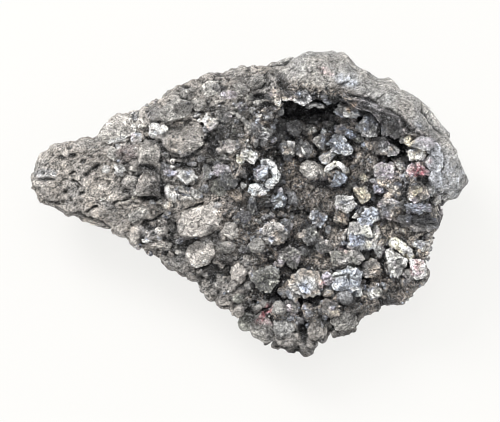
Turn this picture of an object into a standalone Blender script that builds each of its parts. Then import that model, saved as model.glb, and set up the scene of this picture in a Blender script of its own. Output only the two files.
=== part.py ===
"""A hand specimen of proustite: a wedge of grey host rock with an open, crystal-lined hollow.

The rock is shaped in its display frame, as it is seen from the front of the hollow: U runs right, V up and
W towards the viewer. One lean about X then sets it down on its broken base, in the row frame, with +Z up.
"""

import math
import random

import bmesh
import bpy
import numpy as np
from mathutils import Matrix, Vector, noise
from mathutils.bvhtree import BVHTree

# Driving dimensions. Every table below is in hundredths of the length, which are millimetres at this length.
LENGTH = 0.100
UNIT = LENGTH / 100.0
LEAN = math.radians(15.0)
BASE_DEPTH = 17.5
GAP = 0.35

# The silhouette of the rock round its display face, from the tip of the nose clockwise.
OUTLINE = (
    (-49.8, 7.0), (-48.8, 12.0), (-45.4, 14.8), (-38.5, 14.9), (-33.8, 16.2), (-32.6, 18.8),
    (-27.5, 21.2), (-20.0, 25.0), (-10.5, 29.2), (-2.0, 31.6), (5.0, 33.3), (12.0, 34.9), (19.8, 35.6),
    (24.8, 32.6), (32.3, 28.0), (37.6, 23.8), (42.8, 19.2), (45.6, 13.8), (47.8, 9.6), (50.2, 4.6),
    (48.0, 1.2), (44.8, -0.6), (44.6, -5.8), (42.2, -8.8), (42.6, -16.2), (40.0, -20.0), (35.8, -24.2),
    (26.6, -27.0), (24.2, -30.6), (17.0, -31.6), (15.2, -34.8), (10.8, -36.2), (3.4, -33.4),
    (-2.6, -30.2), (-5.0, -25.6), (-10.4, -21.8), (-14.6, -17.0), (-20.2, -13.8), (-26.6, -10.4),
    (-32.6, -7.6), (-40.0, -4.6), (-45.6, -2.0), (-48.0, 1.8),
)

# Heights of the display face over the silhouette's plane, like the spot heights on a map: U, V, W.
SPOT_HEIGHTS = (
    (-48, 6, 2.5), (-43, 10, 6.0), (-42, 1, 3.5), (-36, 7, 7.0), (-33, -3, 4.0), (-33, 15, 6.5),
    (-26, 17, 7.5), (-24, 8, 8.5), (-26, -6, 3.5), (-16, -12, 3.0), (-16, 24, 8.5), (-14, 8, 8.5),
    (-12, -4, 6.0), (-8, -18, 3.5), (-5, 28, 10.5), (-3, 14, 9.0), (-2, 0, 6.5), (0, -26, 3.0),
    (8, 30, 12.5), (10, -32, 2.5), (20, 31, 13.5), (21, -27, 5.0), (30, 26, 13.0), (34, -20, 4.5),
    (38, 20, 12.5), (39, -12, 5.5), (43, 12, 11.0), (41, -3, 8.5), (47, 5, 8.5), (44, 1, 9.0),
    (15, 8, 8.0), (20, -8, 6.0),
)

# The breaks that shaped the back and the sides below the silhouette: a point U, V, W, and the normal.
BREAKS = (
    ((37.0, 25.0, -7.0), (0.52, 0.66, -0.54)), ((8.0, 33.0, -12.0), (0.02, 0.93, -0.36)),
    ((-22.0, 22.5, -7.0), (-0.46, 0.76, -0.46)), ((-44.0, 12.0, -5.0), (-0.52, 0.60, -0.61)),
    ((-47.5, 3.0, -5.0), (-0.78, -0.20, -0.59)), ((-28.0, -11.5, -6.0), (-0.36, -0.80, -0.48)),
    ((-6.0, -27.0, -8.0), (-0.44, -0.78, -0.45)), ((16.0, -34.8, -6.5), (0.16, -0.92, -0.36)),
    ((37.5, -25.0, -7.0), (0.60, -0.66, -0.45)), ((48.0, 1.0, -3.0), (0.80, -0.24, -0.55)),
    ((47.5, 9.0, -6.0), (0.80, 0.42, -0.43)),
)

# Lumps of rock grown on to the block: centre U, V, W, then radii and a turn in degrees.
ROCK_LUMPS = (
    (-15.3, 14.2, 8.0, 5.4, 3.8, 3.6, 12), (-22.4, 4.6, 7.0, 3.2, 2.7, 2.8, 0),
    (-16.2, 22.6, 7.2, 3.8, 2.6, 3.2, 25), (-7.0, 25.0, 8.6, 3.9, 2.5, 3.4, -8),
    (-14.6, 0.6, 6.6, 3.6, 1.7, 2.4, -14), (-42.0, 11.5, 4.2, 3.6, 2.4, 2.6, 20),
    (-37.0, 13.0, 4.6, 2.8, 1.9, 2.4, 10), (-45.6, 3.6, 2.2, 3.4, 1.9, 2.6, -10),
    (-36.4, 3.4, 5.2, 4.2, 2.6, 2.4, -20), (-29.0, 0.6, 5.4, 4.4, 2.4, 2.4, -18),
    (-29.2, 18.0, 5.6, 3.4, 2.2, 2.8, 24), (-26.6, -5.6, 2.8, 4.2, 1.8, 2.2, -22),
    (-20.0, -8.4, 3.4, 3.4, 2.4, 2.2, 8), (-17.6, -13.0, 1.0, 3.6, 1.6, 2.4, -30),
    (-9.8, -19.4, 0.6, 3.8, 1.8, 2.6, -34), (21.0, -27.4, -2.4, 3.8, 2.6, 3.2, 4),
    (9.4, -31.0, -2.0, 3.4, 3.6, 3.2, 0), (14.0, -31.6, -4.2, 2.4, 3.2, 3.0, 20),
    (2.6, -28.6, -2.2, 3.6, 2.4, 3.0, -28), (39.6, -4.4, 0.8, 4.4, 1.6, 2.4, -3),
    (38.6, -15.0, -0.6, 3.0, 3.2, 2.8, 0), (30.6, -22.4, -1.8, 4.6, 2.0, 2.6, 22),
    (0.8, 28.6, 9.4, 3.8, 1.6, 2.6, 14), (24.0, 29.6, 11.8, 4.2, 2.0, 2.4, -24),
    (45.0, 10.4, 8.2, 2.4, 3.8, 2.8, 22), (-20.4, 19.4, 6.6, 2.4, 2.0, 2.6, 60),
)

# The hollow is several cavities that run together: centre U, V, W, then radii.
CAVITIES = {
    "main_bowl": ((17.0, -2.0, 13.5), (26.0, 28.0, 16.5)),
    "broken_mouth": ((30.0, -14.5, 15.0), (20.0, 17.0, 17.0)),
    "front_apron": ((10.5, -20.6, 15.0), (17.4, 12.0, 16.8)),
    "side_apron": ((-2.0, -2.0, 20.0), (13.0, 21.0, 17.0)),
    "upper_bay": ((9.5, 15.5, 16.5), (11.5, 12.5, 14.5)),
    "back_undercut": ((14.5, 21.5, 3.0), (9.6, 7.4, 6.2)),
    "lip_undercut": ((24.0, 21.0, 4.5), (9.5, 6.0, 5.8)),
    "side_undercut": ((34.0, 12.5, 3.5), (7.0, 6.6, 5.6)),
}

# The larger crystals in the hollow: U, V, width, height over width.
VUG_CRYSTALS = (
    (3.7, 6.6, 6.6, 0.8), (2.6, 2.9, 4.6, 0.7), (6.6, 1.2, 3.4, 0.9), (2.1, -0.6, 2.8, 0.9),
    (9.9, 0.2, 2.6, 0.8), (14.1, 7.5, 4.6, 0.8), (16.8, 7.4, 2.8, 0.8), (20.1, 6.9, 5.0, 0.9),
    (12.7, 12.1, 3.6, 1.0), (8.3, 13.0, 3.8, 0.9), (21.0, 13.3, 4.0, 1.1), (17.3, 14.1, 3.4, 1.0),
    (18.1, 10.9, 3.2, 0.8), (23.0, 17.2, 4.2, 0.9), (22.6, 21.4, 5.8, 0.9), (28.5, 17.4, 4.2, 1.0),
    (27.4, 13.4, 3.4, 0.8), (31.6, 12.4, 5.2, 0.9), (33.4, 17.0, 4.8, 0.8), (37.1, 12.6, 3.0, 0.9),
    (38.0, 9.6, 3.8, 0.8), (37.8, 6.4, 3.4, 0.8), (38.8, 2.4, 4.6, 0.7), (38.2, -1.4, 4.4, 0.6),
    (32.2, 5.9, 5.2, 0.8), (28.6, 8.6, 3.6, 0.7), (32.2, -0.6, 4.6, 0.7), (25.4, 2.2, 3.0, 0.8),
    (21.8, 0.4, 4.4, 0.8), (21.5, -3.8, 3.2, 0.7), (15.6, -4.0, 3.8, 1.0), (27.6, -4.1, 5.2, 0.9),
    (25.0, -8.2, 5.4, 0.8), (28.9, -8.4, 3.8, 0.8), (14.1, -7.8, 4.8, 0.8), (17.2, -10.7, 3.2, 0.8),
    (4.9, -6.6, 5.4, 0.7), (8.6, -5.2, 3.8, 0.8), (2.4, -9.8, 4.0, 0.8), (9.8, -12.3, 4.6, 0.8),
    (6.4, -13.8, 2.4, 0.9), (34.5, -9.9, 4.4, 0.7), (38.0, -8.4, 3.2, 0.8), (33.6, -14.6, 5.2, 1.0),
    (39.0, -15.0, 3.6, 0.8), (36.6, -16.6, 2.8, 0.8), (27.7, -15.4, 3.8, 0.8), (22.4, -13.2, 5.2, 0.7),
    (22.4, -17.6, 5.4, 0.8), (17.2, -17.8, 3.2, 0.8), (12.8, -18.2, 6.4, 0.7), (9.2, -20.6, 3.6, 0.8),
    (25.8, -20.4, 2.8, 1.0), (21.8, -21.8, 3.8, 0.8), (28.6, -20.6, 3.8, 0.7), (18.4, -24.5, 4.4, 0.7),
    (6.6, -25.0, 4.0, 0.8), (10.2, -24.9, 3.8, 0.8), (4.3, -16.6, 4.0, 0.8), (-3.2, 7.0, 3.8, 0.8),
    (37.2, -19.0, 3.4, 0.8), (31.8, -21.2, 3.2, 0.8), (40.4, -11.6, 3.0, 0.8), (3.7, 15.4, 5.0, 0.7),
    (0.0, 11.4, 3.4, 0.8), (9.6, 17.6, 3.8, 0.9), (14.6, 17.8, 3.6, 0.9), (-1.8, -3.6, 3.0, 0.7),
    (14.2, -26.6, 3.6, 0.8), (11.0, 4.2, 2.8, 0.7), (18.6, -1.0, 2.8, 0.7),
)

# Crystals at the broken rim of the hollow, grown out of the rock itself: U, V, width, height over width.
RIM_CRYSTALS = (
    (21.8, -28.9, 4.6, 0.7), (3.0, -30.0, 4.2, 0.8), (8.2, -31.8, 5.0, 0.8), (13.6, -33.2, 4.0, 0.8),
    (-2.4, -24.8, 3.0, 0.8), (-5.0, -19.2, 2.8, 0.8),
)

# Crystals and nodules that stand alone on the shoulder beside the hollow. Each is a piece of its own in a
# socket: finish, U, V, width, breadth and height, a turn in degrees, and the sunk share of the height.
SHOULDER_CRYSTALS = {
    "large_pale_nodule": ("nodule", -11.6, -4.0, 10.4, 6.8, 6.4, 24, 0.42),
    "lower_pale_nodule": ("nodule", -11.4, -11.6, 6.8, 5.6, 5.6, 34, 0.40),
    "small_pale_nodule": ("nodule", -2.7, -16.2, 3.5, 4.8, 4.4, 12, 0.42),
    "twin_nodule_upper": ("knob", -4.6, -6.4, 4.2, 4.0, 4.0, 0, 0.42),
    "twin_nodule_lower": ("knob", -5.4, -10.1, 4.4, 2.9, 3.6, -6, 0.45),
    "grey_knob": ("knob", -23.3, 11.4, 5.6, 5.2, 5.2, 30, 0.40),
    "ringed_crystal": ("crystal", -14.6, 6.0, 4.7, 3.5, 3.8, -22, 0.42),
    "chipped_crystal": ("crystal", -18.2, 2.6, 2.6, 4.4, 3.8, 14, 0.45),
    "bright_crystal": ("crystal", -21.9, 17.0, 3.5, 3.3, 4.2, 40, 0.42),
    "pale_square_crystal": ("crystal", -9.3, 19.2, 3.0, 3.5, 4.0, 20, 0.40),
    "nose_crystal": ("crystal", -29.9, 7.8, 2.9, 2.1, 3.0, -10, 0.45),
}

# Colour, roughness and metallic value of each kind of stone.
FINISHES = {
    "rock": ((0.200, 0.196, 0.188), 0.82, 0.0),
    "druse": ((0.150, 0.152, 0.160), 0.34, 0.45),
    "nodule": ((0.500, 0.482, 0.455), 0.50, 0.05),
    "knob": ((0.230, 0.228, 0.222), 0.62, 0.10),
    "crystal": ((0.420, 0.425, 0.430), 0.38, 0.25),
}

# How the block tapers: the middle of its plan, and the share that the face and the base are drawn in by.
HALF_DEPTH = 26.0
BACK_DEPTH = 30.0
PLAN_MIDDLE = (6.0, 3.0)
FACE_DRAW = 0.11
BASE_DRAW = 0.20

# The broken surface: sizes and heights of large and small fracture facets, of the beds seen on the sides
# and of the swells between them.
LARGE_FACET, LARGE_TILT, LARGE_STEP = 12.0, 0.20, 0.95
SMALL_FACET, SMALL_TILT, SMALL_STEP = 5.2, 0.24, 0.46
BED, BED_SWAY, BED_LEDGE = 4.2, 1.6, 0.60
SWELL_SIZE, SWELL = 7.0, 0.5

# The skin that the crystals of the hollow grow on.
SKIN = 1.4
SKIN_UNEVENNESS = 0.7

# How far a crystal's middle stands off the surface it grows from, in half heights, and how far it may lean.
CRYSTAL_RISE = 0.55
CRYSTAL_LEAN = 0.35

ROCK_TRIANGLES = 3200
HOLLOW_TRIANGLES = 480
BLOCK_VOXEL = 1.25
HOLLOW_VOXEL = 1.3

# Levels well clear of the rock on the viewer's side and behind it.
ABOVE = 60.0
BELOW = -60.0


def clear_scene():
    for obj in list(bpy.data.objects):
        bpy.data.objects.remove(obj, do_unlink=True)


def new_collection(name, rendered=True):
    collection = bpy.data.collections.new(name)
    collection.hide_render = not rendered
    bpy.context.scene.collection.children.link(collection)
    return collection


def give_material(obj, finish):
    """Gives the object a material of its own, in one of the finishes."""
    colour, roughness, metallic = FINISHES[finish]
    material = bpy.data.materials.new(obj.name)
    material.use_nodes = True
    shader = material.node_tree.nodes["Principled BSDF"]
    shader.inputs["Base Color"].default_value = (*colour, 1.0)
    shader.inputs["Roughness"].default_value = roughness
    shader.inputs["Metallic"].default_value = metallic
    material.diffuse_color = (*colour, 1.0)
    obj.data.materials.clear()
    obj.data.materials.append(material)


def link_object(name, data, collection):
    obj = bpy.data.objects.new(name, data)
    collection.objects.link(obj)
    return obj


def object_from(name, mesh_in_work, collection):
    """Makes an object of a mesh in work, and frees it."""
    mesh = bpy.data.meshes.new(name)
    mesh_in_work.to_mesh(mesh)
    mesh_in_work.free()
    return link_object(name, mesh, collection)


def as_cutter(obj):
    obj.hide_render = True
    obj.display_type = "WIRE"
    return obj


def apply_modifiers(obj):
    """Makes what the object's modifiers give its own mesh."""
    graph = bpy.context.evaluated_depsgraph_get()
    mesh = bpy.data.meshes.new_from_object(obj.evaluated_get(graph))
    obj.modifiers.clear()
    obj.data = mesh
    return obj


def boolean(obj, operation, other, self_crossing=False):
    modifier = obj.modifiers.new(f"{operation.lower()} {other.name}", "BOOLEAN")
    modifier.operation = operation
    modifier.object = other
    modifier.use_self = self_crossing
    return apply_modifiers(obj)


def voxel_remesh(obj, size):
    modifier = obj.modifiers.new("remesh", "REMESH")
    modifier.mode = "VOXEL"
    modifier.voxel_size = size * UNIT
    return apply_modifiers(obj)


def decimate(obj, triangles):
    modifier = obj.modifiers.new("facets", "DECIMATE")
    modifier.use_collapse_triangulate = True
    faces = sum(len(polygon.vertices) - 2 for polygon in obj.data.polygons)
    modifier.ratio = min(1.0, triangles / faces)
    return apply_modifiers(obj)


def mesh_points(mesh):
    """The mesh's points as an array, in table units."""
    points = np.empty(len(mesh.vertices) * 3)
    mesh.vertices.foreach_get("co", points)
    return points.reshape(-1, 3) / UNIT


def set_points(mesh, points):
    mesh.vertices.foreach_set("co", (points * UNIT).ravel())
    mesh.update()


def mesh_normals(mesh):
    normals = np.empty(len(mesh.vertices) * 3)
    mesh.vertices.foreach_get("normal", normals)
    return normals.reshape(-1, 3)


def smoothstep(low, high, value):
    t = np.clip((value - low) / (high - low), 0.0, 1.0)
    return t * t * (3.0 - 2.0 * t)


def face_height(u, v):
    """The height of the display face over U, V: the spot heights, weighted by nearness."""
    blur = 6.0
    total = np.zeros_like(u)
    weights = np.zeros_like(u)
    for spot_u, spot_v, spot_w in SPOT_HEIGHTS:
        weight = 1.0 / ((u - spot_u) ** 2 + (v - spot_v) ** 2 + blur) ** 2
        total += weight * spot_w
        weights += weight
    return total / weights


def fracture(point, cell, tilt, step, seed):
    """The height of the broken facet under a point. Every Voronoi cell is one tilted plane of fracture."""
    where = point / cell + Vector((17.3, 5.1, 9.7)) * seed
    _, feature_points = noise.voronoi(where)
    centre = feature_points[0]
    slope = noise.cell_vector(centre + Vector((0.5, 0.5, 0.5))) * 2.0 - Vector((1.0, 1.0, 1.0))
    level = noise.cell(centre + Vector((31.5, 7.5, 3.5))) * 2.0 - 1.0
    return step * level + tilt * cell * slope.dot(where - centre)


def build_block(collection):
    """The bare block: the outline extruded, remeshed, and sculpted to its face, sides and back."""
    curve = bpy.data.curves.new("outline", "CURVE")
    curve.dimensions = "2D"
    curve.fill_mode = "BOTH"
    curve.extrude = HALF_DEPTH * UNIT
    curve.resolution_u = 3
    spline = curve.splines.new("BEZIER")
    spline.bezier_points.add(len(OUTLINE) - 1)
    for knot, (u, v) in zip(spline.bezier_points, OUTLINE):
        knot.co = (u * UNIT, v * UNIT, 0.0)
        knot.handle_left_type = "AUTO"
        knot.handle_right_type = "AUTO"
    spline.use_cyclic_u = True
    outline = link_object("outline", curve, collection)
    graph = bpy.context.evaluated_depsgraph_get()
    mesh = bpy.data.meshes.new_from_object(outline.evaluated_get(graph))
    bpy.data.objects.remove(outline)
    welded = bmesh.new()
    welded.from_mesh(mesh)
    bmesh.ops.remove_doubles(welded, verts=welded.verts, dist=0.01 * UNIT)
    bmesh.ops.recalc_face_normals(welded, faces=welded.faces)
    bpy.data.meshes.remove(mesh)
    block = voxel_remesh(object_from("host_rock", welded, collection), BLOCK_VOXEL)
    sculpt_block(block.data)
    cut_breaks(block.data)
    return block


def sculpt_block(mesh):
    """Gives the extruded outline its relief in front, and sides that draw in above and below."""
    face_curve, base_curve = 3.0, 1.7
    middle = np.array(PLAN_MIDDLE)
    points = mesh_points(mesh)
    level = points[:, 2] / HALF_DEPTH
    front, back = np.clip(level, 0.0, 1.0), np.clip(-level, 0.0, 1.0)
    drawn = 1.0 - FACE_DRAW * front ** face_curve - BASE_DRAW * back ** base_curve
    plan = middle + (points[:, :2] - middle) * drawn[:, None]
    points[:, :2] = plan
    points[:, 2] = front * face_height(plan[:, 0], plan[:, 1]) - back * BACK_DEPTH
    set_points(mesh, points)


def cut_breaks(mesh):
    """Splits the corners off the block along its breaks."""
    block = bmesh.new()
    block.from_mesh(mesh)
    cut_back(block, [(Vector(point) * UNIT, Vector(normal).normalized()) for point, normal in BREAKS])
    block.to_mesh(mesh)
    block.free()


def add_lumps(block):
    """Lays the rounded lumps into the block, and fuses them with it."""
    joined = bmesh.new()
    joined.from_mesh(block.data)
    for u, v, w, *radii, turn in ROCK_LUMPS:
        place = (
            Matrix.Translation(Vector((u, v, w)) * UNIT)
            @ Matrix.Rotation(math.radians(turn), 4, "Z")
            @ Matrix.Diagonal((*(Vector(radii) * UNIT), 1.0))
        )
        bmesh.ops.create_icosphere(joined, subdivisions=3, radius=1.0, matrix=place)
    joined.to_mesh(block.data)
    joined.free()
    return voxel_remesh(block, BLOCK_VOXEL)


def break_surface(mesh):
    """Moves each point along its normal: large fracture facets and small ones, beds on the sides, swells."""
    mesh.update()
    points, normals = mesh_points(mesh), mesh_normals(mesh)
    calm_face = 0.65
    for index, (place, normal) in enumerate(zip(points, normals)):
        point = Vector(place)
        facing = smoothstep(-0.2, 0.75, normal[2])
        large = fracture(point, LARGE_FACET, LARGE_TILT, LARGE_STEP, 1) * (1.0 - calm_face * facing)
        small = fracture(point, SMALL_FACET, SMALL_TILT, SMALL_STEP, 2)
        layer = (place[2] + BED_SWAY * noise.noise(point / LARGE_FACET)) / BED
        within_layer = abs(layer - math.floor(layer) - 0.5) * 2.0
        ledge = BED_LEDGE * (within_layer - 0.5) * (1.0 - facing)
        points[index] += normal * (large + small + ledge + SWELL * noise.noise(point / SWELL_SIZE))
    set_points(mesh, points)


def cut_base(obj):
    """Cuts the block off level under its face, along the plane that it will rest on."""
    base_normal = Vector((0.0, math.sin(LEAN), math.cos(LEAN)))
    cut = bmesh.new()
    cut.from_mesh(obj.data)
    bmesh.ops.bisect_plane(
        cut,
        geom=cut.verts[:] + cut.edges[:] + cut.faces[:],
        dist=0.02 * UNIT,
        plane_co=-base_normal * BASE_DEPTH * UNIT,
        plane_no=base_normal,
        clear_inner=True,
    )
    rim = [edge for edge in cut.edges if edge.is_boundary]
    made = bmesh.ops.contextual_create(cut, geom=rim)
    bmesh.ops.triangulate(cut, faces=made["faces"])
    bmesh.ops.recalc_face_normals(cut, faces=cut.faces)
    cut.to_mesh(obj.data)
    cut.free()


def build_hollow(collection):
    """The space of the hollow as a cutter: its cavities run together, with an uneven wall."""
    wave = 5.0
    joined = bmesh.new()
    for centre, radii in CAVITIES.values():
        place = Matrix.Translation(Vector(centre) * UNIT) @ Matrix.Diagonal((*(Vector(radii) * UNIT), 1.0))
        bmesh.ops.create_icosphere(joined, subdivisions=4, radius=1.0, matrix=place)
    hollow = voxel_remesh(object_from("hollow", joined, collection), HOLLOW_VOXEL)
    points, normals = mesh_points(hollow.data), mesh_normals(hollow.data)
    for index, place in enumerate(points):
        points[index] += normals[index] * noise.noise(Vector(place) / wave)
    set_points(hollow.data, points)
    return as_cutter(decimate(hollow, HOLLOW_TRIANGLES))


def drawn_in(hollow, name, inset, unevenness, collection):
    """A copy of the hollow's space with its wall drawn in."""
    wave = 3.5
    inner = link_object(name, hollow.data.copy(), collection)
    points, normals = mesh_points(inner.data), mesh_normals(inner.data)
    for index, place in enumerate(points):
        points[index] -= normals[index] * (inset + unevenness * noise.noise(Vector(place) / wave))
    set_points(inner.data, points)
    return as_cutter(inner)


def cut_back(mesh, planes):
    """Cuts a mesh back to each plane of (point, normal), and closes the cut face."""
    for point, normal in planes:
        whole = mesh.verts[:] + mesh.edges[:] + mesh.faces[:]
        bmesh.ops.bisect_plane(mesh, geom=whole, plane_co=point, plane_no=normal, clear_outer=True)
        rim = [edge for edge in mesh.edges if edge.is_boundary]
        if rim:
            bmesh.ops.contextual_create(mesh, geom=rim)


def form_of(planes):
    """A convex form about 2 units across, cut out of a cube by planes of (distance, outward normal)."""
    form = bmesh.new()
    bmesh.ops.create_cube(form, size=4.0)
    cut_back(form, [(outward * distance, outward) for distance, outward in planes])
    bmesh.ops.dissolve_degenerate(form, dist=0.01, edges=form.edges)
    return form


def proustite_form(dice):
    """One crystal: a six-sided prism with three-sided ends, all its faces unequally grown."""
    planes = []
    for side in range(6):
        angle = math.radians(60.0 * side + dice.uniform(-4.0, 4.0))
        planes.append((dice.uniform(0.80, 1.05), Vector((math.cos(angle), math.sin(angle), 0.0))))
    for end, first in ((1.0, 30.0), (-1.0, 90.0)):
        for side in range(3):
            angle = math.radians(120.0 * side + first + dice.uniform(-6.0, 6.0))
            steep = math.radians(dice.uniform(38.0, 52.0))
            level = end * math.sin(steep)
            across = math.cos(steep)
            outward = Vector((math.cos(angle) * across, math.sin(angle) * across, level))
            planes.append((dice.uniform(0.78, 1.0), outward))
    return form_of(planes)


def nodule_form(dice):
    """A rounded nodule, broken into flat patches that lie round it on a spiral."""
    patches = 26
    turn = math.pi * (3.0 - math.sqrt(5.0))
    planes = []
    for index in range(patches):
        level = 1.0 - 2.0 * (index + 0.5) / patches
        ring = math.sqrt(1.0 - level * level)
        outward = Vector((ring * math.cos(turn * index), ring * math.sin(turn * index), level))
        tilt = Vector([dice.uniform(-0.14, 0.14) for _ in range(3)])
        planes.append((dice.uniform(0.88, 1.0), (outward + tilt).normalized()))
    return form_of(planes)


def add_placed(form, matrix, target):
    """Adds a form to a mesh in work, placed by the matrix."""
    form.transform(matrix)
    mesh = bpy.data.meshes.new("form")
    form.to_mesh(mesh)
    form.free()
    target.from_mesh(mesh)
    bpy.data.meshes.remove(mesh)


def growth_matrix(centre, outward, turn, scale):
    """Places a form with its long axis outward."""
    upright = Vector((0.0, 0.0, 1.0)).rotation_difference(outward).to_matrix().to_4x4()
    turned = Matrix.Rotation(turn, 4, "Z")
    return Matrix.Translation(centre) @ upright @ turned @ Matrix.Diagonal((*scale, 1.0))


def surface_tree(obj):
    return BVHTree.FromObject(obj, bpy.context.evaluated_depsgraph_get())


def surface_point(surface, u, v, start=ABOVE):
    """The first point of a surface at U, V met from the start level, and its normal to the viewer's side."""
    towards_rock = Vector((0.0, 0.0, -start))
    point, normal, _, _ = surface.ray_cast(Vector((u, v, start)) * UNIT, towards_rock)
    return point, normal if normal.z > 0.0 else -normal


def grow_crystals(name, places, surface, start, collection):
    """Crystals with their feet sunk in a surface, which is met from the start level, as one cutter."""
    dice = random.Random(11)
    upward = Vector((0.0, 0.0, 0.7))
    joined = bmesh.new()
    for u, v, width, slender in places:
        foot, normal = surface_point(surface, u, v, start)
        lean = Vector([dice.uniform(-CRYSTAL_LEAN, CRYSTAL_LEAN) for _ in range(2)]).to_3d()
        outward = (normal * 0.6 + upward + lean).normalized()
        half = 0.5 * width * UNIT
        height = half * slender
        centre = foot + outward * height * CRYSTAL_RISE
        place = growth_matrix(centre, outward, dice.uniform(0.0, math.pi), (half, half, height))
        add_placed(proustite_form(dice), place, joined)
    return as_cutter(object_from(name, joined, collection))


def build_crust(block, hollow, collection, cutters):
    """The crystals of the hollow, grown on one thin skin that lines it."""
    space = drawn_in(hollow, "hollow_space", GAP, 0.0, cutters)
    inside = drawn_in(hollow, "hollow_inside", GAP + SKIN, SKIN_UNEVENNESS, cutters)
    crust = link_object("vug_crystals", block.data.copy(), collection)
    boolean(crust, "DIFFERENCE", inside)
    crystals = grow_crystals("crystals", VUG_CRYSTALS, surface_tree(inside), BELOW, cutters)
    boolean(crust, "UNION", crystals, self_crossing=True)
    boolean(crust, "INTERSECT", space)
    return crust


def shoulder_crystal(name, values, surface, collection, cutters):
    """One lone crystal or nodule in its place on the shoulder, and the cutter of its socket."""
    finish, u, v, width, breadth, height, turn, sunk = values
    dice = random.Random(len(name) * 7 + 3)
    foot, normal = surface_point(surface, u, v)
    outward = (normal * 0.35 + Vector((0.0, 0.0, 1.0))).normalized()
    half = Vector((width, breadth, height)) * 0.5 * UNIT
    centre = foot + outward * half.z * (1.0 - 2.0 * sunk)
    form = proustite_form(dice) if finish == "crystal" else nodule_form(dice)
    body = bmesh.new()
    add_placed(form, growth_matrix(centre, outward, math.radians(turn), half), body)
    crystal = object_from(name, body, collection)
    give_material(crystal, finish)
    return crystal, socket_for(crystal, centre, min(width, breadth, height), cutters)


def socket_for(crystal, centre, least_size, collection):
    """A cutter shaped like the crystal, larger all round by the gap."""
    clearance = 1.0 + 2.4 * GAP / least_size
    room = bmesh.new()
    room.from_mesh(crystal.data)
    about_centre = Matrix.Translation(-centre)
    bmesh.ops.scale(room, verts=room.verts, vec=(clearance, clearance, clearance), space=about_centre)
    return as_cutter(object_from(crystal.name + "_socket", room, collection))


def stand_on_base(objects, collection):
    """Leans the specimen on to its base, with the origin under the middle of its box."""
    stand = bpy.data.objects.new("specimen", None)
    collection.objects.link(stand)
    turned = Matrix.Rotation(LEAN, 4, "X")
    corners = np.vstack([mesh_points(obj.data) @ np.array(turned.to_3x3()).T for obj in objects])
    low, high = corners.min(axis=0), corners.max(axis=0)
    middle = (low + high) / 2.0
    stand.rotation_euler = (LEAN, 0.0, 0.0)
    stand.location = Vector((-middle[0], -middle[1], -low[2])) * UNIT
    for obj in objects:
        obj.parent = stand


def main():
    clear_scene()
    specimen = new_collection("proustite_specimen")
    cutters = new_collection("cutters", rendered=False)
    rock = build_block(specimen)
    add_lumps(rock)
    break_surface(rock.data)
    voxel_remesh(rock, BLOCK_VOXEL)
    decimate(rock, ROCK_TRIANGLES)
    cut_base(rock)

    surface = surface_tree(rock)
    rim_crystals = grow_crystals("rim_crystals", RIM_CRYSTALS, surface, ABOVE, cutters)
    hollow = build_hollow(cutters)
    crust = build_crust(rock, hollow, specimen, cutters)
    boolean(rock, "DIFFERENCE", hollow)
    boolean(rock, "UNION", rim_crystals, self_crossing=True)

    pieces = [rock, crust]
    for name, values in SHOULDER_CRYSTALS.items():
        crystal, socket = shoulder_crystal(name, values, surface, specimen, cutters)
        boolean(rock, "DIFFERENCE", socket)
        boolean(crust, "DIFFERENCE", socket)
        pieces.append(crystal)
    give_material(rock, "rock")
    give_material(crust, "druse")
    stand_on_base(pieces, specimen)


main()
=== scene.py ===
"""The looks of a proustite specimen: grey host rock, a dark crystal-lined hollow and pale nodules.

Shapes are worked out in the display frame of the specimen, in millimetres: U runs right, V up and W towards
the viewer. The same lean as the solids have then sets every piece down in the row frame, in metres.
"""

from __future__ import annotations

import logging
import math
from collections.abc import Sequence
from dataclasses import dataclass, field
from enum import Enum
from functools import cached_property

import bmesh
import bpy
import numpy as np
from mathutils import Matrix, Vector
from mathutils.bvhtree import BVHTree


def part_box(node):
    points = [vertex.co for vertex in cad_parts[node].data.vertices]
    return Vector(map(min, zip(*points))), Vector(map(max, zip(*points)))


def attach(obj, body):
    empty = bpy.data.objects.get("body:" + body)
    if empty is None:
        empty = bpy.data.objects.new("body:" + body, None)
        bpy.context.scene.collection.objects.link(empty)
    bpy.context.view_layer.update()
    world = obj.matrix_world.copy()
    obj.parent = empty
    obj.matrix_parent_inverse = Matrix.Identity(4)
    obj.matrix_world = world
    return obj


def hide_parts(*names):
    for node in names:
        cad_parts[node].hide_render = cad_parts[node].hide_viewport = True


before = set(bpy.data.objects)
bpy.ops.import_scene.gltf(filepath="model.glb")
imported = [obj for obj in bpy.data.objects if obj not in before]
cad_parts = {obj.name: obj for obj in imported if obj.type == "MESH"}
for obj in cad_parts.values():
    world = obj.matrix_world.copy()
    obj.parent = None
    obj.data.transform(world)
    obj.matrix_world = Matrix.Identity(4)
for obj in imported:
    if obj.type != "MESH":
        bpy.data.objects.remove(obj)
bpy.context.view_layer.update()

LOG = logging.getLogger("proustite")
MM = 0.001
LEAN = math.radians(15.0)
STAND = np.array((0.1, -0.5, 17.5))

Array = np.ndarray

# Further off than anything that is measured in half sizes or cell sizes.
FAR = 9.0
# The least cosine at which a flat face still cuts a body.
GRAZING = 0.05
# In front of the whole stone, in mm.
VIEWER = 60.0
# Colours darker than the middle tone are deepened by this power, and none goes past the two ends.
MIDDLE_TONE, DEEPENING = 0.20, 0.32
DARKEST, LIGHTEST = 0.003, 0.68


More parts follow.
